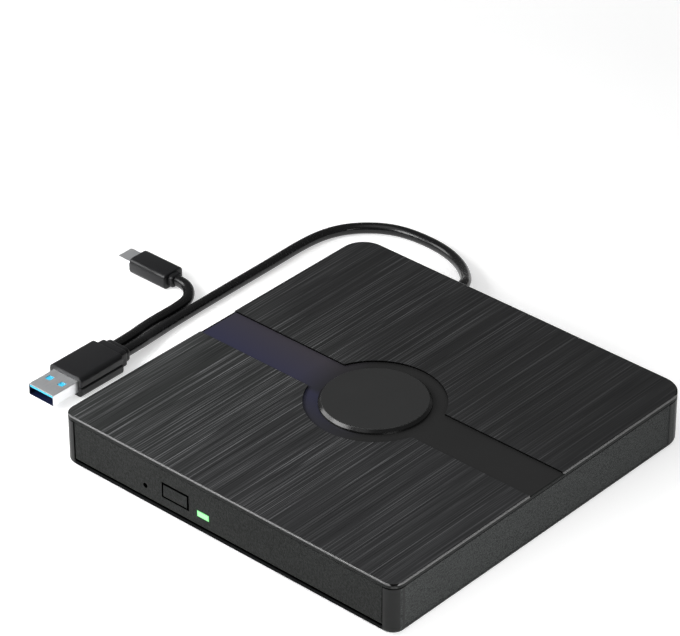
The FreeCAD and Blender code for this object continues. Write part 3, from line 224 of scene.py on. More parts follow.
def comb_lines(group, across, along, spacing, half_width, faintest):
    """Straight lines along Y at uneven steps across X, each with its own strength and its own gaps."""
    cells = add(group, "TexVoronoi", voronoi_dimensions="1D", feature="F1")
    group.links.new(math_node(group, "MULTIPLY", across, 1.0 / spacing), cells.inputs["W"])
    cells.inputs["Scale"].default_value = 1.0
    cells.inputs["Randomness"].default_value = 0.6
    edge = half_width / spacing
    narrow = remap(group, cells.outputs["Distance"], edge, 1.8 * half_width / spacing, 1.0, 0.0)
    shares = add(group, "SeparateColor")
    group.links.new(cells.outputs["Color"], shares.inputs["Color"])
    strength = math_node(group, "MULTIPLY", narrow, remap(group, shares.outputs["Red"], faintest, 0.85))
    start = math_node(group, "MULTIPLY", shares.outputs["Green"], SPREAD_OF_STARTS)
    gaps = add(group, "TexNoise", noise_dimensions="1D")
    along_line = math_node(group, "MULTIPLY", along, GAPS_PER_METRE)
    group.links.new(math_node(group, "ADD", along_line, start), gaps.inputs["W"])
    gaps.inputs["Scale"].default_value = 1.0
    gaps.inputs["Detail"].default_value = 1.0
    return math_node(group, "MULTIPLY", strength, remap(group, gaps.outputs["Fac"], 0.38, 0.56, 0.05, 1.0))


def brushed_lines_group():
    """Thin bright lines along Y that come and go in clusters, with thin dark ones between them."""
    group, start, end = new_group("brushed_lines", [("Vector", "Vector", None)], ["Streak", "Shade"])
    place = start.outputs["Vector"]
    split = add(group, "SeparateXYZ")
    group.links.new(place, split.inputs[0])
    across, along = split.outputs["X"], split.outputs["Y"]
    bold = comb_lines(group, across, along, BOLD_STEP, BOLD_HALF, 0.25)
    slight_across = math_node(group, "ADD", across, SLIGHT_SHIFT)
    slight = comb_lines(group, slight_across, along, SLIGHT_STEP, SLIGHT_HALF, 0.10)
    dark = comb_lines(group, math_node(group, "ADD", across, DARK_SHIFT), along, DARK_STEP, DARK_HALF, 0.0)
    cluster = noise(group, stretched(group, place, (130, 14, 0)), 1.0, 1.0, 0.5)
    density = remap(group, cluster, 0.34, 0.62, 0.45, 1.0)
    lines = math_node(group, "MAXIMUM", bold, math_node(group, "MULTIPLY", slight, 0.5))
    group.links.new(math_node(group, "MULTIPLY", lines, density), end.inputs["Streak"])
    group.links.new(math_node(group, "SUBTRACT", 1.0, dark), end.inputs["Shade"])
    return group


def grain_group():
    """Fine leather-like grain for moulded plastic: rounded cells with pits between them."""
    group, start, end = new_group(
        "leather_grain", [("Vector", "Vector", None), ("Cells", "Float", 1600.0)], ["Height", "Pits"]
    )
    cells = add(group, "TexVoronoi", feature="SMOOTH_F1")
    group.links.new(start.outputs["Vector"], cells.inputs["Vector"])
    group.links.new(start.outputs["Cells"], cells.inputs["Scale"])
    cells.inputs["Smoothness"].default_value = 0.5
    cells.inputs["Randomness"].default_value = 1.0
    ripple = add(group, "TexNoise")
    group.links.new(start.outputs["Vector"], ripple.inputs["Vector"])
    group.links.new(start.outputs["Cells"], ripple.inputs["Scale"])
    ripple.inputs["Detail"].default_value = 3.0
    height = math_node(
        group, "SUBTRACT", math_node(group, "MULTIPLY", ripple.outputs["Fac"], 0.7), cells.outputs["Distance"]
    )
    group.links.new(height, end.inputs["Height"])
    group.links.new(remap(group, cells.outputs["Distance"], 0.25, 0.75), end.inputs["Pits"])
    return group


def handling_group():
    """Faint smudges and dust from handling, as a value about one half."""
    group, start, end = new_group("handling", [("Vector", "Vector", None)], ["Smudge", "Dust"])
    place = start.outputs["Vector"]
    group.links.new(remap(group, noise(group, place, 38.0, 4.0, 0.6), 0.35, 0.7), end.inputs["Smudge"])
    specks = noise(group, place, 2600.0, 2.0, 0.7)
    patches = noise(group, place, 60.0, 2.0, 0.5)
    dust = math_node(group, "MULTIPLY", remap(group, specks, 0.66, 0.78), remap(group, patches, 0.45, 0.7))
    group.links.new(dust, end.inputs["Dust"])
    return group


GROUPS = {"lines": brushed_lines_group(), "grain": grain_group(), "handling": handling_group()}


# Materials

class Finish:
    """A procedural material: a Principled shader fed by the groups on Object coordinates."""

    def __init__(self, name, color, roughness, metallic=0.0, **plain):
        self.material = bpy.data.materials.new(name)
        self.material.use_nodes = True
        self.tree = self.material.node_tree
        self.tree.nodes.clear()
        output = add(self.tree, "OutputMaterial")
        self.shader = add(self.tree, "BsdfPrincipled")
        self.tree.links.new(self.shader.outputs["BSDF"], output.inputs["Surface"])
        self.shader.inputs["Base Color"].default_value = (*color, 1)
        self.shader.inputs["Roughness"].default_value = roughness
        self.shader.inputs["Metallic"].default_value = metallic
        for label, setting in plain.items():
            self.shader.inputs[label.replace("_", " ")].default_value = setting
        self.place = add(self.tree, "TexCoord").outputs["Object"]

    def group(self, key, **values):
        node = add(self.tree, "Group", node_tree=GROUPS[key])
        self.tree.links.new(self.place, node.inputs["Vector"])
        for label, setting in values.items():
            node.inputs[label].default_value = setting
        return node.outputs

    def feed(self, socket, source):
        self.tree.links.new(source, self.shader.inputs[socket])

    def blend(self, factor, first, second):
        """A colour between two, each a plain colour or a socket."""
        mix = add(self.tree, "Mix", data_type="RGBA")
        self.tree.links.new(factor, mix.inputs["Factor"])
        for socket, given in ((mix.inputs["A"], first), (mix.inputs["B"], second)):
            if isinstance(given, tuple):
                socket.default_value = (*given, 1)
            else:
                self.tree.links.new(given, socket)
        return mix.outputs["Result"]

    def bump(self, height, depth):
        node = add(self.tree, "Bump")
        node.inputs["Strength"].default_value = 1.0
        node.inputs["Distance"].default_value = depth
        self.tree.links.new(height, node.inputs["Height"])
        return node.outputs["Normal"]

    def ramp(self, number, low, high, new_low, new_high):
        return remap(self.tree, number, low, high, new_low, new_high)

    def calc(self, operation, first, second=None):
        return math_node(self.tree, operation, first, second)


def moulded(name, color, roughness, cells=2600.0, depth=0.00003, dust=0.5, **plain):
    """Moulded plastic: a fine grain, faint smudges and a little dust."""
    finish = Finish(name, color, roughness, **plain)
    handling = finish.group("handling")
    grain = finish.group("grain", Cells=cells)
    lighter = tuple(min(1.0, channel * 1.6 + 0.004) for channel in color)
    shade = finish.blend(finish.calc("MULTIPLY", handling["Dust"], dust), color, lighter)
    finish.feed("Base Color", shade)
    finish.feed("Roughness", finish.ramp(handling["Smudge"], 0, 1, roughness - 0.04, roughness + 0.05))
    finish.feed("Normal", finish.bump(grain["Height"], depth))
    return finish.material


def metal(name, color, roughness, stretch=(60, 2400, 60), depth=0.000004, **plain):
    """Drawn or pressed metal with fine lines along one direction."""
    finish = Finish(name, color, roughness, metallic=1.0, **plain)
    handling = finish.group("handling")
    lines = noise(finish.tree, stretched(finish.tree, finish.place, stretch), 1.0, 2.0, 0.6)
    darker = tuple(channel * 0.82 for channel in color)
    finish.feed("Base Color", finish.blend(lines, darker, color))
    rough = finish.ramp(lines, 0.3, 0.7, roughness - 0.05, roughness + 0.05)
    finish.feed("Roughness", finish.calc("ADD", rough, finish.calc("MULTIPLY", handling["Smudge"], 0.04)))
    finish.feed("Normal", finish.bump(lines, depth))
    return finish.material


# Finishes of the case, lid and front

LID_TOP = 20.0 * MM
DISC_TOP = 21.0 * MM
BAND_LEVEL = 19.3 * MM
EDGE_DROP = 0.02 * MM
EDGE_ROUND = 0.55 * MM
RING_CENTRE_Y = -0.8 * MM
SIDE_PANEL = 73.35 * MM
FRONT_FACE = -74.85 * MM
BUTTON_ACROSS = -21.65 * MM
BUTTON_HIGH = 9.85 * MM
BUTTON_HALF_WIDTH = 5.95 * MM
BUTTON_HALF_HEIGHT = 2.85 * MM
LAMP_ACROSS = -9.2 * MM
LAMP_HIGH = 7.98 * MM
LAMP_HALF_WIDTH = 2.65 * MM
LAMP_HALF_HEIGHT = 1.18 * MM
PINHOLE_ACROSS = -35.36 * MM
PINHOLE_HIGH = 7.85 * MM
LIP_TOP = 3.3 * MM
LIP_HALF_WIDTH = 69.0 * MM
LIP_REAR = -70.0 * MM
SEAM_LOW = 17.9 * MM
SEAM_HIGH = 18.5 * MM
LID_SIDE = 72.7 * MM
LID_END = 74.2 * MM
OUTLINE_INSIDE = 0.6 * MM
OUTLINE_OUTSIDE = 0.2 * MM
HOLE_DARK = 0.9 * MM
NEAR_BUTTON = 1.2 * MM
NEAR_HOLE = 1.5 * MM
LAMP_GLOW_WIDTH = 0.7 * MM
SOFT_STEP = 0.05 * MM


def between(finish, number, low, high, soft=SOFT_STEP):
    """1 where a number lies between two levels, with a soft step at each."""
    above = finish.ramp(number, low - soft, low + soft, 0, 1)
    below = finish.ramp(number, high - soft, high + soft, 1, 0)
    return finish.calc("MULTIPLY", above, below)


def off_middle(finish, number, middle):
    """How far a number lies from a middle value, either way."""
    return finish.calc("ABSOLUTE", finish.calc("SUBTRACT", number, middle))


def outside_box(finish, off_across, off_high, half_width, half_height):
    """How far a place lies outside an upright rectangle, and below 0 inside it."""
    past_side = finish.calc("SUBTRACT", off_across, half_width)
    return finish.calc("MAXIMUM", past_side, finish.calc("SUBTRACT", off_high, half_height))


def split_place(finish):
    """The place on the object as three numbers: across, deep and high."""
    split = add(finish.tree, "SeparateXYZ")
    finish.tree.links.new(finish.place, split.inputs[0])
    return split.outputs


def lid_finish():
    """Brushed lines on the two raised fields, a smooth band and ring, and a violet tint at the band's left.

    The lines grow fainter to the right and rear and the rear field is darker, which stands for the light that
    falls on the lid. The pale outer edge and the near-black inner wall stand for a highlight and a shadow.
    """
    finish = Finish("lid_brushed", (0.027, 0.027, 0.027), 0.42, Specular_IOR_Level=0.32)
    across, deep, high = split_place(finish)
    on_field = finish.ramp(high, LID_TOP - EDGE_DROP, LID_TOP - EDGE_DROP / 2, 0, 1)
    on_band = between(finish, high, BAND_LEVEL - 0.0001, BAND_LEVEL + 0.0001)
    outermost = finish.calc(
        "MAXIMUM",
        finish.ramp(finish.calc("ABSOLUTE", across), LID_SIDE, LID_SIDE + 0.0002, 0, 1),
        finish.ramp(finish.calc("ABSOLUTE", deep), LID_END, LID_END + 0.0002, 0, 1),
    )
    upper = finish.ramp(high, LID_TOP - EDGE_ROUND, LID_TOP - EDGE_ROUND + 0.0001, 0, 1)
    off_field = finish.calc("SUBTRACT", 1.0, on_field)
    # The rounded outer top edge of the lid, where a highlight is painted.
    painted_edge_highlight = finish.calc("MULTIPLY", finish.calc("MULTIPLY", upper, outermost), off_field)
    on_rim = finish.ramp(high, LID_TOP - EDGE_ROUND, LID_TOP - EDGE_ROUND + 0.0001, 1, 0)
    on_rim = finish.calc("MULTIPLY", on_rim, outermost)
    # Painted shadow: the step walls between the band and the raised fields are painted near black.
    wall_shadow = between(finish, high, BAND_LEVEL + 0.00004, LID_TOP - EDGE_DROP, 0.00002)
    wall_shadow = finish.calc("MULTIPLY", wall_shadow, finish.calc("SUBTRACT", 1.0, outermost))
    lines = finish.group("lines")
    handling = finish.group("handling")
    # Painted shade: the lines' strength falls to 0.40 towards the right and again towards the rear.
    from_middle = finish.calc("SUBTRACT", across, finish.calc("MULTIPLY", deep, 0.35))
    strength = finish.ramp(from_middle, -0.045, 0.060, 1.0, 0.40)
    strength = finish.calc("MULTIPLY", strength, finish.ramp(deep, -0.010, 0.025, 1.0, 0.40))
    streak = finish.calc("MULTIPLY", finish.calc("MULTIPLY", lines["Streak"], on_field), strength)

    # Painted light and shade: the fields' base tone is a little lighter at the left and about a fifth darker
    # towards the rear.
    field_tone_painted_shade = finish.blend(
        finish.ramp(across, -0.075, 0.0, 0, 1), (0.0185, 0.0203, 0.0193), (0.0178, 0.0181, 0.0189)
    )
    field_tone_painted_shade = finish.blend(finish.ramp(deep, -0.020, 0.030, 0, 1), field_tone_painted_shade, (0.0142, 0.0144, 0.0148))
    dark_tone = finish.blend(lines["Shade"], (0.0070, 0.0071, 0.0075), field_tone_painted_shade)
    field = finish.blend(streak, dark_tone, (0.170, 0.172, 0.177))
    smooth_tone = finish.blend(handling["Smudge"], (0.0145, 0.0145, 0.0145), (0.0160, 0.0160, 0.0161))
    plain = finish.blend(on_field, smooth_tone, field)

    offset = finish.calc("SUBTRACT", deep, RING_CENTRE_Y)
    left = finish.ramp(across, -0.0150, -0.0300, 0, 1)
    front_left = finish.calc(
        "MULTIPLY", finish.ramp(offset, -0.006, -0.010, 0, 1), finish.ramp(across, 0.010, -0.006, 0, 1)
    )
    tinted = finish.calc("MULTIPLY", finish.calc("MAXIMUM", left, front_left), on_band)
    sweep = finish.ramp(finish.calc("ADD", deep, finish.calc("MULTIPLY", across, 0.12)), -0.014, 0.003, 0, 1)
    violet = finish.blend(sweep, (0.024, 0.024, 0.050), (0.037, 0.033, 0.042))
    faded = finish.ramp(deep, -0.010, -0.022, 0, 1)
    violet = finish.blend(faded, violet, (0.020, 0.020, 0.027))
    toned = finish.blend(tinted, plain, violet)
    # Painted highlight: the rounded outer edge is painted a pale grey.
    with_edge_highlight = finish.blend(painted_edge_highlight, toned, (0.120, 0.120, 0.120))
    walled = finish.blend(on_rim, with_edge_highlight, (0.0135, 0.0145, 0.0140))
    finish.feed("Base Color", finish.blend(wall_shadow, walled, (0.0008, 0.0008, 0.0008)))

    base_rough = finish.ramp(on_field, 0, 1, 0.40, 0.46)
    base_rough = finish.calc("SUBTRACT", base_rough, finish.calc("MULTIPLY", painted_edge_highlight, 0.16))
    rough = finish.calc("SUBTRACT", base_rough, finish.calc("MULTIPLY", streak, 0.10))
    finish.feed("Roughness", finish.calc("ADD", rough, finish.calc("MULTIPLY", handling["Smudge"], 0.03)))
    finish.feed("Specular IOR Level", finish.ramp(finish.calc("MAXIMUM", wall_shadow, on_rim), 0, 1, 0.26, 0.06))
    finish.feed("Normal", finish.bump(streak, 0.00003))
    return finish.material


def case_finish():
    """Leather grain on the side and rear panels, smooth corner columns, and dark lines that stand for shadow.

    One line is the seam under the lid, the other lies above the lip below the tray's front.
    """
    finish = Finish("case_grained", (0.022, 0.022, 0.022), 0.5, Specular_IOR_Level=0.14)
    across, deep, high = split_place(finish)
    side = between(finish, finish.calc("ABSOLUTE", across), SIDE_PANEL - 0.0001, SIDE_PANEL + 0.0001)
    rear = finish.ramp(deep, 0.0745, 0.0747, 0, 1)
    panel = finish.calc("MAXIMUM", side, rear)
    coarse = finish.group("grain", Cells=1900.0)
    fine = finish.group("grain", Cells=4200.0)
    handling = finish.group("handling")
    height = finish.calc("ADD", coarse["Height"], finish.calc("MULTIPLY", fine["Height"], 0.5))
    grained = finish.blend(coarse["Pits"], (0.037, 0.040, 0.039), (0.0115, 0.0124, 0.0124))
    smooth_tone = finish.blend(handling["Smudge"], (0.0110, 0.0114, 0.0112), (0.0130, 0.0135, 0.0133))
    toned = finish.blend(panel, smooth_tone, grained)
    # Painted shadow: a near-black band round the case just under the lid's edge.
    seam = between(finish, high, SEAM_LOW, SEAM_HIGH)
    # Painted shade: the lip below the tray's front is a little darker with no specular, and a near-black line
    # along its top is painted shadow.
    lip = finish.calc(
        "MULTIPLY",
        finish.ramp(high, LIP_TOP, LIP_TOP + 0.0001, 1, 0),
        finish.ramp(finish.calc("ABSOLUTE", across), LIP_HALF_WIDTH - 0.001, LIP_HALF_WIDTH, 1, 0),
    )
    lip = finish.calc("MULTIPLY", lip, finish.ramp(deep, LIP_REAR, LIP_REAR + 0.0001, 1, 0))
    lip_shadow_line = finish.ramp(high, LIP_TOP - 0.0007, LIP_TOP - 0.0005, 0, 1)
    lip_shade_tone = finish.blend(lip_shadow_line, (0.0105, 0.0110, 0.0108), (0.001, 0.001, 0.001))
    toned = finish.blend(lip, toned, lip_shade_tone)
    finish.feed("Base Color", finish.blend(seam, toned, (0.002, 0.002, 0.002)))
    finish.feed("Specular IOR Level", finish.ramp(lip, 0, 1, 0.14, 0.0))
    finish.feed("Roughness", finish.ramp(panel, 0, 1, 0.36, 0.55))
    relief = finish.calc("MULTIPLY", height, panel)
    finish.feed("Normal", finish.bump(relief, 0.00016))
    return finish.material


def front_grain(name):
    """A fine mottled grain, as on the tray's front and its button.

    The dark outlines of button and pinhole stand for shadow, and the green tint for the lamp's glow.
    """
    finish = Finish(name, (0.024, 0.026, 0.025), 0.50, Specular_IOR_Level=0.10)
    grain = finish.group("grain", Cells=2400.0)
    handling = finish.group("handling")
    mottle = noise(finish.tree, stretched(finish.tree, finish.place, (1700, 1700, 1100)), 1.0, 2.0, 0.7)
    mottled = remap(finish.tree, mottle, 0.35, 0.65)
    tone = finish.blend(mottled, (0.0042, 0.0047, 0.0044), (0.0165, 0.0180, 0.0171))
    across, deep, high = split_place(finish)
    behind = finish.ramp(deep, FRONT_FACE + 0.00012, FRONT_FACE + 0.0003, 0, 1)
    off_across = off_middle(finish, across, BUTTON_ACROSS)
    off_high = off_middle(finish, high, BUTTON_HIGH)
    outside = outside_box(finish, off_across, off_high, BUTTON_HALF_WIDTH, BUTTON_HALF_HEIGHT)
    # Painted shadow: near-black outlines round the button and the pinhole.
    outline = between(finish, outside, -OUTLINE_INSIDE, OUTLINE_OUTSIDE, 0.00003)
    hole_side = finish.calc("SUBTRACT", across, PINHOLE_ACROSS)
    hole_level = finish.calc("SUBTRACT", high, PINHOLE_HIGH)
    from_hole = finish.calc(
        "SQRT",
        finish.calc(
            "ADD",
            finish.calc("MULTIPLY", hole_side, hole_side),
            finish.calc("MULTIPLY", hole_level, hole_level),
        ),
    )
    outline = finish.calc("MAXIMUM", outline, finish.ramp(from_hole, HOLE_DARK, HOLE_DARK + 0.0001, 1, 0))
    lamp_across = off_middle(finish, across, LAMP_ACROSS)
    lamp_high = off_middle(finish, high, LAMP_HIGH)
    from_lamp = outside_box(finish, lamp_across, lamp_high, LAMP_HALF_WIDTH, LAMP_HALF_HEIGHT)
    # Painted glow: a faint green on the face round the lit window.
    tone = finish.blend(finish.ramp(from_lamp, 0.0, LAMP_GLOW_WIDTH, 1, 0), tone, (0.004, 0.020, 0.007))
    near_hole = finish.calc(
        "MAXIMUM",
        finish.ramp(outside, NEAR_BUTTON, NEAR_BUTTON + 0.0001, 1, 0),
        finish.ramp(from_hole, NEAR_HOLE, NEAR_HOLE + 0.0001, 1, 0),
    )
    # Painted shade: the walls just behind the front face round the button and pinhole are painted near black
    # too.
    shaded = finish.calc("MAXIMUM", outline, finish.calc("MULTIPLY", behind, near_hole))
    finish.feed("Base Color", finish.blend(shaded, tone, (0.0006, 0.0006, 0.0006)))
    finish.feed("Specular IOR Level", finish.ramp(shaded, 0, 1, 0.10, 0.0))
    finish.feed("Roughness", finish.ramp(handling["Smudge"], 0, 1, 0.46, 0.54))
    finish.feed("Normal", finish.bump(finish.calc("ADD", grain["Height"], mottle), 0.00006))
    return finish.material


def lead_finish():
    """A glossy jacket with faint scuffs and dust."""
    finish = Finish("lead_jacket", (0.0035, 0.0036, 0.0040), 0.24, Specular_IOR_Level=0.40)
    handling = finish.group("handling")
    scuff = noise(finish.tree, finish.place, 900.0, 3.0, 0.6)
    dusty = finish.calc("MULTIPLY", handling["Dust"], 0.35)
    finish.feed("Base Color", finish.blend(dusty, (0.0035, 0.0036, 0.0040), (0.020, 0.020, 0.021)))
    finish.feed("Roughness", finish.ramp(scuff, 0.3, 0.7, 0.18, 0.30))
    finish.feed("Normal", finish.bump(scuff, 0.00001))
    return finish.material


def lamp_finish():
    """The lit window of the light pipe: pale in its middle and a deeper green towards its rim."""
    finish = Finish("lamp_lit", (0.10, 0.45, 0.12), 0.3, Specular_IOR_Level=0.3)
    across, _, high = split_place(finish)
    off_across = off_middle(finish, across, LAMP_ACROSS)
    off_high = off_middle(finish, high, LAMP_HIGH)
    side_rim = finish.ramp(off_across, LAMP_HALF_WIDTH - 0.0007, LAMP_HALF_WIDTH, 0, 1)
    upper_rim = finish.ramp(off_high, LAMP_HALF_HEIGHT - 0.0006, LAMP_HALF_HEIGHT, 0, 1)
    rim = finish.calc("MAXIMUM", side_rim, upper_rim)
    finish.feed("Emission Color", finish.blend(rim, (0.44, 0.78, 0.46), (0.09, 0.44, 0.12)))
    finish.shader.inputs["Emission Strength"].default_value = 1.0
    return finish.material


def disc_finish():
    """A plain satin face, and a glossier wall below its shoulder whose darker colour is painted shade."""
    finish = Finish("disc_satin", (0.026, 0.026, 0.026), 0.40, Specular_IOR_Level=0.32)
    high = split_place(finish)[2]
    on_face = finish.ramp(high, DISC_TOP - 0.0002, DISC_TOP - 0.0001, 0, 1)
    handling = finish.group("handling")
    face = finish.blend(handling["Smudge"], (0.0205, 0.0207, 0.0207), (0.0230, 0.0233, 0.0233))
    # Painted shade: the wall below the shoulder is painted far darker than the face.
    finish.feed("Base Color", finish.blend(on_face, (0.0045, 0.0045, 0.0046), face))
    rough = finish.ramp(on_face, 0, 1, 0.20, 0.38)
    finish.feed("Roughness", finish.calc("ADD", rough, finish.calc("MULTIPLY", handling["Smudge"], 0.03)))
    grain = finish.group("grain", Cells=4200.0)
    finish.feed("Normal", finish.bump(grain["Height"], 0.000004))
    return finish.material


def plug_finish():
    """Moulded plug plastic, a little glossier than the case."""
    finish = Finish("plug_satin", (0.0055, 0.0056, 0.0062), 0.34, Specular_IOR_Level=0.28)
    handling = finish.group("handling")
    grain = finish.group("grain", Cells=5200.0)
    tone = finish.blend(handling["Smudge"], (0.0100, 0.0101, 0.0110), (0.0130, 0.0131, 0.0142))
    finish.feed("Base Color", tone)
    finish.feed("Roughness", finish.ramp(handling["Smudge"], 0, 1, 0.30, 0.38))
    finish.feed("Normal", finish.bump(grain["Height"], 0.000006))
    return finish.material


def board_finish():
    """Green solder mask with a pattern of traces under it."""
    finish = Finish("solder_mask", (0.012, 0.085, 0.030), 0.35)
    tree = finish.tree
    cells = add(tree, "TexBrick")
    tree.links.new(stretched(tree, finish.place, (260, 260, 260)), cells.inputs["Vector"])
    cells.inputs["Color1"].default_value = (0.010, 0.070, 0.024, 1)
    cells.inputs["Color2"].default_value = (0.014, 0.092, 0.033, 1)
    cells.inputs["Mortar"].default_value = (0.030, 0.150, 0.055, 1)
    cells.inputs["Mortar Size"].default_value = 0.03
    finish.feed("Base Color", cells.outputs["Color"])
    finish.feed("Normal", finish.bump(cells.outputs["Fac"], 0.00003))
    return finish.material


def shell_finish():
    """Brushed nickel outside, and painted shade in dark navy inside the USB-A shell's mouth."""
    finish = Finish("plug_nickel", (0.95, 0.96, 0.98), 0.42, metallic=1.0)
    across, _, high = split_place(finish)
    from_side = off_middle(finish, across, USB_A_X * MM)
    from_level = off_middle(finish, high, USB_A_Z * MM)
    # Painted shade: inside the USB-A shell's mouth the colour is dark navy and not metallic.
    inside = finish.calc(
        "MULTIPLY",
        finish.ramp(from_side, SHELL_INNER_HALF - SOFT_STEP, SHELL_INNER_HALF, 1, 0),
        finish.ramp(from_level, SHELL_INNER_HALF_HEIGHT - SOFT_STEP, SHELL_INNER_HALF_HEIGHT, 1, 0),
    )
    lines = noise(finish.tree, stretched(finish.tree, finish.place, (2400, 90, 2400)), 1.0, 2.0, 0.6)
    nickel = finish.blend(lines, (0.86, 0.87, 0.89), (0.98, 0.99, 1.00))
    finish.feed("Base Color", finish.blend(inside, nickel, (0.002, 0.004, 0.030)))
    finish.feed("Roughness", finish.ramp(lines, 0.3, 0.7, 0.38, 0.48))
    finish.feed("Metallic", finish.ramp(inside, 0, 1, 1, 0))
    finish.feed("Normal", finish.bump(lines, 0.000003))
    return finish.material


def glass_finish():
    """Coated glass that shifts between blue and violet."""
    finish = Finish("coated_lens", (0.62, 0.74, 0.95), 0.05, Transmission_Weight=0.85, IOR=1.5)
    sweep = noise(finish.tree, finish.place, 300.0, 1.0, 0.5)
    finish.feed("Base Color", finish.blend(sweep, (0.55, 0.70, 0.98), (0.78, 0.70, 0.98)))
    return finish.material


MATERIALS = {
    "lid": lid_finish(),
    "case": case_finish(),
    "bezel": front_grain("bezel_grained"),
    "lead": lead_finish(),
    "lamp": lamp_finish(),
    "board": board_finish(),
    "glass": glass_finish(),
    "disc": disc_finish(),
    "button": front_grain("button_grained"),
    "rubber": moulded("foot_rubber", (0.012, 0.012, 0.012), 0.75, cells=1500.0),
    "tray": moulded("tray_plastic", (0.0110, 0.0112, 0.0118), 0.42, cells=2200.0, depth=0.00002),
    "plug": plug_finish(),
    "chip": moulded("chip_package", (0.016, 0.016, 0.017), 0.5, cells=3500.0),
    "ribbon": moulded("ribbon_film", (0.62, 0.62, 0.58), 0.4, cells=900.0, depth=0.000004),
    "tongue": moulded("tongue_blue", (0.050, 0.560, 0.860), 0.34, cells=2200.0, depth=0.000004, dust=0.0),
    "sheet": metal("sheet_steel", (0.62, 0.63, 0.64), 0.34),
    "steel": metal("bright_steel", (0.70, 0.70, 0.71), 0.24, stretch=(900, 900, 60)),
    "shell": shell_finish(),
    "cast": metal("cast_metal", (0.50, 0.51, 0.53), 0.5, stretch=(800, 800, 800), depth=0.00002),
    "gold": metal("gold_contacts", (0.90, 0.68, 0.30), 0.28),
}

WORN_BY = {
    "lid": ["top_cover"],
    "case": ["bottom_case"],
    "bezel": ["tray_bezel"],
    "lead": ["usb_cable", "type_c_branch"],
    "lamp": ["led_lens"],
    "board": ["control_board", "bridge_board"],
    "glass": ["objective_lens"],
    "disc": ["centre_disc"],
    "button": ["eject_button"],
    "rubber": ["rubber_feet", "rubber_dampers", "turntable_pad", "strain_relief"],
    "tray": [
        "tray", "spindle_rotor", "chuck_claw_1", "chuck_claw_2", "chuck_claw_3", "lens_holder", "latch_lever",
    ],
    "plug": ["usb_a_body", "type_c_body"],
    "chip": ["control_chips", "bridge_chips", "eject_switch", "sata_connector", "type_c_insulator"],
    "ribbon": ["ribbon_cable"],
    "tongue": ["usb_a_tongue"],
    "sheet": [
        "drive_chassis", "drive_cover", "tray_under_cover", "traverse_cover", "traverse_frame",
        "rail_guide_left", "rail_guide_right", "slide_rail_left", "slide_rail_right",
    ],
    "steel": [
        "case_screws", "drive_cover_screws", "board_screws", "guide_rods", "feed_screw", "latch_pin",
        "latch_post", "feed_motor", "spindle_motor_base", "latch_solenoid", "latch_plunger", "laser_modules",
    ],
    "shell": ["usb_a_shell", "type_c_shell"],
    "cast": ["pickup_carriage"],
    "gold": ["usb_a_contacts"],
}


def dress(piece, key):
    """Puts a material in every slot of a piece."""
    if not piece.material_slots:
        piece.data.materials.append(None)
    for slot in piece.material_slots:
        slot.material = MATERIALS[key]


def dress_frame():
    for key, names in WORN_BY.items():
        for name in names:
            dress(NODES[name], key)


# Lead, branch and plugs

LEAD_DIAMETER = 0.0042
LEAD_ROUTE = [
    (-0.0380, 0.0815, 0.0064),
    (-0.0380, 0.0900, 0.0064),
    (-0.0432, 0.0980, 0.0041),
    (-0.0535, 0.1062, 0.0023),
    (-0.0650, 0.1099, 0.0021),
    (-0.0790, 0.1100, 0.0021),
    (-0.0887, 0.1073, 0.0021),
    (-0.0972, 0.1008, 0.0021),
    (-0.1028, 0.0922, 0.0021),
    (-0.1051, 0.0805, 0.0021),
    (-0.1046, 0.0600, 0.0021),
    (-0.1045, 0.0320, 0.0021),
    (-0.1040, 0.0090, 0.0021),
    (-0.1030, -0.0025, 0.0024),
    (-0.1009, -0.0115, 0.0040),
    (-0.1009, -0.0184, 0.0040),
]
BRANCH_ROUTE = [
    (-0.1060, -0.0184, 0.0040),
    (-0.1060, -0.0115, 0.0040),
    (-0.1092, 0.0010, 0.0022),
    (-0.1091, 0.0150, 0.0021),
    (-0.1096, 0.0214, 0.0023),
    (-0.1113, 0.0248, 0.0026),
    (-0.1140, 0.0273, 0.0029),
    (-0.1174, 0.0286, 0.0031),
    (-0.1209, 0.0286, 0.0031),
]


def lead_curve(name, route, replaced):
    """A round lead as one smooth spline through its route's control points."""
    curve = bpy.data.curves.new(name, "CURVE")
    curve.dimensions = "3D"
    curve.resolution_u = 12
    spline = curve.splines.new("NURBS")
    spline.points.add(len(route) - 1)
    for point, place in zip(spline.points, route):
        point.co = (*place, 1)
        point.radius = LEAD_DIAMETER / 2
    spline.order_u = 3
    spline.use_endpoint_u = True
    curve.bevel_depth = 1.0
    curve.bevel_resolution = 8
    lead = bpy.data.objects.new(name, curve)
    bpy.context.scene.collection.objects.link(lead)
    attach(lead, "case")
    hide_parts(replaced)
    dress(lead, "lead")
    return lead


def strain_relief():
    """A tapered rubber sleeve with a collar at the wall and shallow ribs along it."""
    inside, outside, tip = 71.4, 75.0, 81.5
    points = [(2.1, inside), (4.0, inside), (4.0, 72.8), (3.05, 72.8)]
    points += [(3.05, outside), (3.7, outside), (3.7, 75.8)]
    ribs = 4
    start, step = 76.1, (tip - 76.3) / ribs
    for rib in range(ribs):
        low = start + rib * step
        wide = 3.25 - 0.16 * rib
        points += [(wide - 0.3, low), (wide, low + 0.2)]
        points += [(wide, low + step - 0.4), (wide - 0.3, low + step - 0.2)]
    points += [(2.35, tip), (2.1, tip)]
    mould = turned_profile([(radius * MM, height * MM) for radius, height in points], 48)
    bmesh.ops.rotate(mould, verts=mould.verts, cent=(0, 0, 0), matrix=Matrix.Rotation(-math.pi / 2, 3, "X"))
    bmesh.ops.translate(mould, verts=mould.verts, vec=(-0.038, 0, 0.0064))
    piece = finish_piece(mould, "lead_strain_relief", replaced=("strain_relief",))
    dress(piece, "rubber")
    return piece


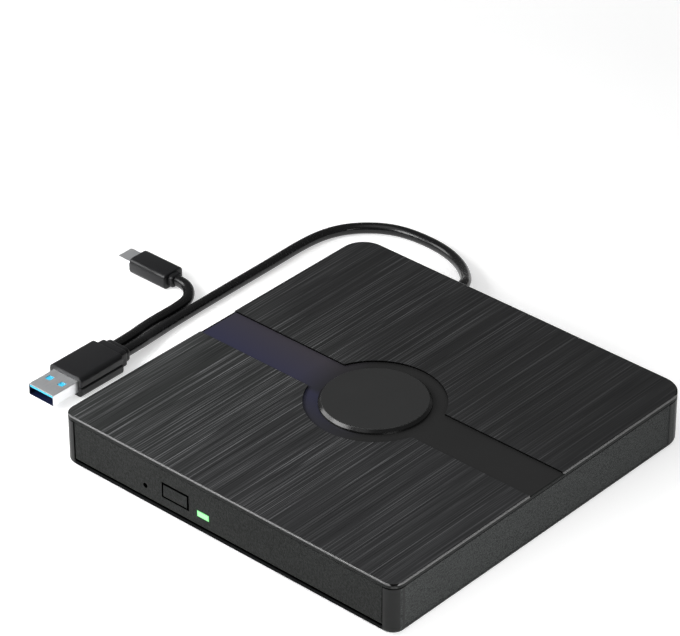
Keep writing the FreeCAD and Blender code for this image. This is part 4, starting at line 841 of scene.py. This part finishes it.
def extruded_outline(outline, start, end, end_radius, axis_x, axis_z):
    """A closed (across, up) outline carried along Y, with its end rims rounded."""
    mould = bmesh.new()
    rim = [mould.verts.new((across * MM, start * MM, up * MM)) for across, up in outline]
    face = mould.faces.new(rim)
    carried = bmesh.ops.extrude_face_region(mould, geom=[face])
    moved = [item for item in carried["geom"] if isinstance(item, bmesh.types.BMVert)]
    bmesh.ops.translate(mould, verts=moved, vec=(0, (end - start) * MM, 0))
    ends = (start * MM, end * MM)
    rims = [
        edge
        for edge in mould.edges
        if any(all(abs(vert.co.y - level) < 1e-7 for vert in edge.verts) for level in ends)
    ]
    bevel(mould, rims, end_radius * MM, 3)
    bmesh.ops.translate(mould, verts=mould.verts, vec=(axis_x * MM, 0, axis_z * MM))
    return mould


def rounded_outline(corners, steps=6):
    """Outline points from (across, up, radius) corners, each rounded by an arc of its own radius."""
    outline = []
    count = len(corners)
    for index, (across, up, radius) in enumerate(corners):
        corner = Vector((across, up))
        if not radius:
            outline.append(tuple(corner))
            continue
        before = (Vector(corners[index - 1][:2]) - corner).normalized()
        after = (Vector(corners[(index + 1) % count][:2]) - corner).normalized()
        half = before.angle(after) / 2
        reach = radius / math.tan(half)
        middle = corner + (before + after).normalized() * radius / math.sin(half)
        first = corner + before * reach - middle
        last = corner + after * reach - middle
        turn = first.angle_signed(last)
        for step in range(steps + 1):
            outline.append(tuple(middle + Matrix.Rotation(-turn * step / steps, 2) @ first))
    return outline


def usb_a_overmould():
    """A flat-topped block with a groove along each side, then a stepped neck that ends in a bead."""
    side = [
        (7.75, 4.0, 1.9),
        (7.85, 0.45, 0.25),
        (7.25, 0.0, 0.0),
        (8.0, -0.5, 0.25),
        (8.0, -4.0, 1.9),
    ]
    mirror = [(-across, up, radius) for across, up, radius in reversed(side)]
    body = extruded_outline(rounded_outline(side + mirror), USB_A_FRONT, USB_A_REAR, 0.45, USB_A_X, USB_A_Z)
    neck_corners = [(6.1, 3.3, 1.5), (6.1, -3.4, 1.5), (-6.1, -3.4, 1.5), (-6.1, 3.3, 1.5)]
    step_end = USB_A_REAR + USB_A_STEP
    neck_start = USB_A_REAR - NECK_OVERLAP
    neck = extruded_outline(rounded_outline(neck_corners), neck_start, step_end, 0.5, USB_A_X, USB_A_Z)
    bead_corners = [(5.4, 2.8, 2.0), (5.4, -2.9, 2.0), (-5.4, -2.9, 2.0), (-5.4, 2.8, 2.0)]
    bead_start = step_end - NECK_OVERLAP
    bead = extruded_outline(rounded_outline(bead_corners), bead_start, USB_A_NECK_END, 0.75, USB_A_X, USB_A_Z)
    mould = join([body, neck, bead])
    piece = finish_piece(mould, "usb_a_overmould", replaced=("usb_a_body",))
    dress(piece, "plug")
    return piece


def type_c_overmould():
    """A small rounded block and a flattened neck, laid along X."""
    block_corners = [(4.9, 3.1, 1.9), (4.9, -3.1, 1.9), (-4.9, -3.1, 1.9), (-4.9, 3.1, 1.9)]
    neck_corners = [(3.0, 2.4, 1.5), (3.0, -2.4, 1.5), (-3.0, -2.4, 1.5), (-3.0, 2.4, 1.5)]
    block = extruded_outline(rounded_outline(block_corners), TYPE_C_FRONT, TYPE_C_REAR, 0.5, 0, 0)
    neck_start = TYPE_C_REAR - NECK_OVERLAP
    neck = extruded_outline(rounded_outline(neck_corners), neck_start, TYPE_C_NECK_END, 0.5, 0, 0)
    mould = join([block, neck])
    quarter_turn = Matrix.Rotation(-math.pi / 2, 3, "Z")
    bmesh.ops.rotate(mould, verts=mould.verts, cent=(0, 0, 0), matrix=quarter_turn)
    bmesh.ops.translate(mould, verts=mould.verts, vec=(0, TYPE_C_Y * MM, TYPE_C_Z * MM))
    piece = finish_piece(mould, "type_c_overmould", replaced=("type_c_body",))
    dress(piece, "plug")
    return piece


def cords():
    """The lead and its branch with their plugs."""
    lead = lead_curve("usb_lead", LEAD_ROUTE, "usb_cable")
    branch = lead_curve("branch_lead", BRANCH_ROUTE, "type_c_branch")
    relief = strain_relief()
    usb_a = [usb_a_overmould(), NODES["usb_a_shell"], NODES["usb_a_tongue"], NODES["usb_a_contacts"]]
    type_c = [type_c_overmould(), NODES["type_c_shell"], NODES["type_c_insulator"]]


# Table, backdrop and light

TABLE_HALF = 30
TABLE_SHADE = (0.78, 0.78, 0.78, 1)
FILL_STRENGTH = 0.22
TABLE_LIFT = 0.50
FAR_TABLE_LIFT = 0.86
NEAR_TABLE = 0.30
FAR_TABLE = 0.90


def table():
    """A pale floor that looks white to the camera and in reflections, and keeps the shadow."""
    mould = bmesh.new()
    bmesh.ops.create_grid(mould, x_segments=1, y_segments=1, size=TABLE_HALF)
    mesh = bpy.data.meshes.new("table_top")
    mould.to_mesh(mesh)
    mould.free()
    floor = bpy.data.objects.new("table_top", mesh)
    bpy.context.scene.collection.objects.link(floor)
    material = bpy.data.materials.new("pale_table")
    material.use_nodes = True
    tree = material.node_tree
    tree.nodes.clear()
    output = add(tree, "OutputMaterial")
    matte = add(tree, "BsdfDiffuse")
    matte.inputs["Color"].default_value = TABLE_SHADE
    seen = add(tree, "LightPath").outputs
    shown = math_node(tree, "MAXIMUM", seen["Is Camera Ray"], seen["Is Glossy Ray"])
    shown = math_node(tree, "MAXIMUM", shown, seen["Is Transmission Ray"])
    away = add(tree, "VectorMath", operation="LENGTH")
    tree.links.new(add(tree, "TexCoord").outputs["Object"], away.inputs[0])
    needed = remap(tree, away.outputs["Value"], NEAR_TABLE, FAR_TABLE, TABLE_LIFT, FAR_TABLE_LIFT)
    lift = add(tree, "Emission")
    tree.links.new(math_node(tree, "MULTIPLY", shown, needed), lift.inputs["Strength"])
    both = add(tree, "AddShader")
    tree.links.new(matte.outputs["BSDF"], both.inputs[0])
    tree.links.new(lift.outputs["Emission"], both.inputs[1])
    tree.links.new(both.outputs["Shader"], output.inputs["Surface"])
    mesh.materials.append(material)


def world():
    """A plain even fill from all around."""
    scenery = bpy.data.worlds.new("surround")
    scenery.use_nodes = True
    tree = scenery.node_tree
    tree.nodes.clear()
    output = add(tree, "OutputWorld")
    fill = add(tree, "Background")
    fill.inputs["Color"].default_value = (1, 1, 1, 1)
    fill.inputs["Strength"].default_value = FILL_STRENGTH
    tree.links.new(fill.outputs["Background"], output.inputs["Surface"])
    bpy.context.scene.world = scenery


def softbox(name, place, target, size, power):
    """A rectangular lamp at a place, turned to a target."""
    light = bpy.data.lights.new(name, "AREA")
    light.shape = "RECTANGLE"
    light.size, light.size_y = size
    light.energy = power
    lamp = bpy.data.objects.new(name, light)
    lamp.location = place
    lamp.rotation_euler = (Vector(target) - Vector(place)).to_track_quat("-Z", "Y").to_euler()
    bpy.context.scene.collection.objects.link(lamp)


make_camera()
dress_frame()
cords()
table()
world()
softbox("front_left", (-0.21, -0.28, 0.25), (-0.01, -0.03, 0), (0.22, 0.18), 1.5)
softbox("left", (-0.62, -0.22, 0.31), (0, 0, 0), (0.30, 0.26), 1.6)
softbox("right", (0.31, -0.11, 0.11), (0.06, -0.07, 0), (0.14, 0.12), 0.72)
softbox("overhead", (-0.10, -0.45, 1.20), (0, 0, 0), (1.0, 1.0), 3.0)
bpy.context.scene.view_settings.view_transform = "Standard"

bpy.context.view_layer.update()
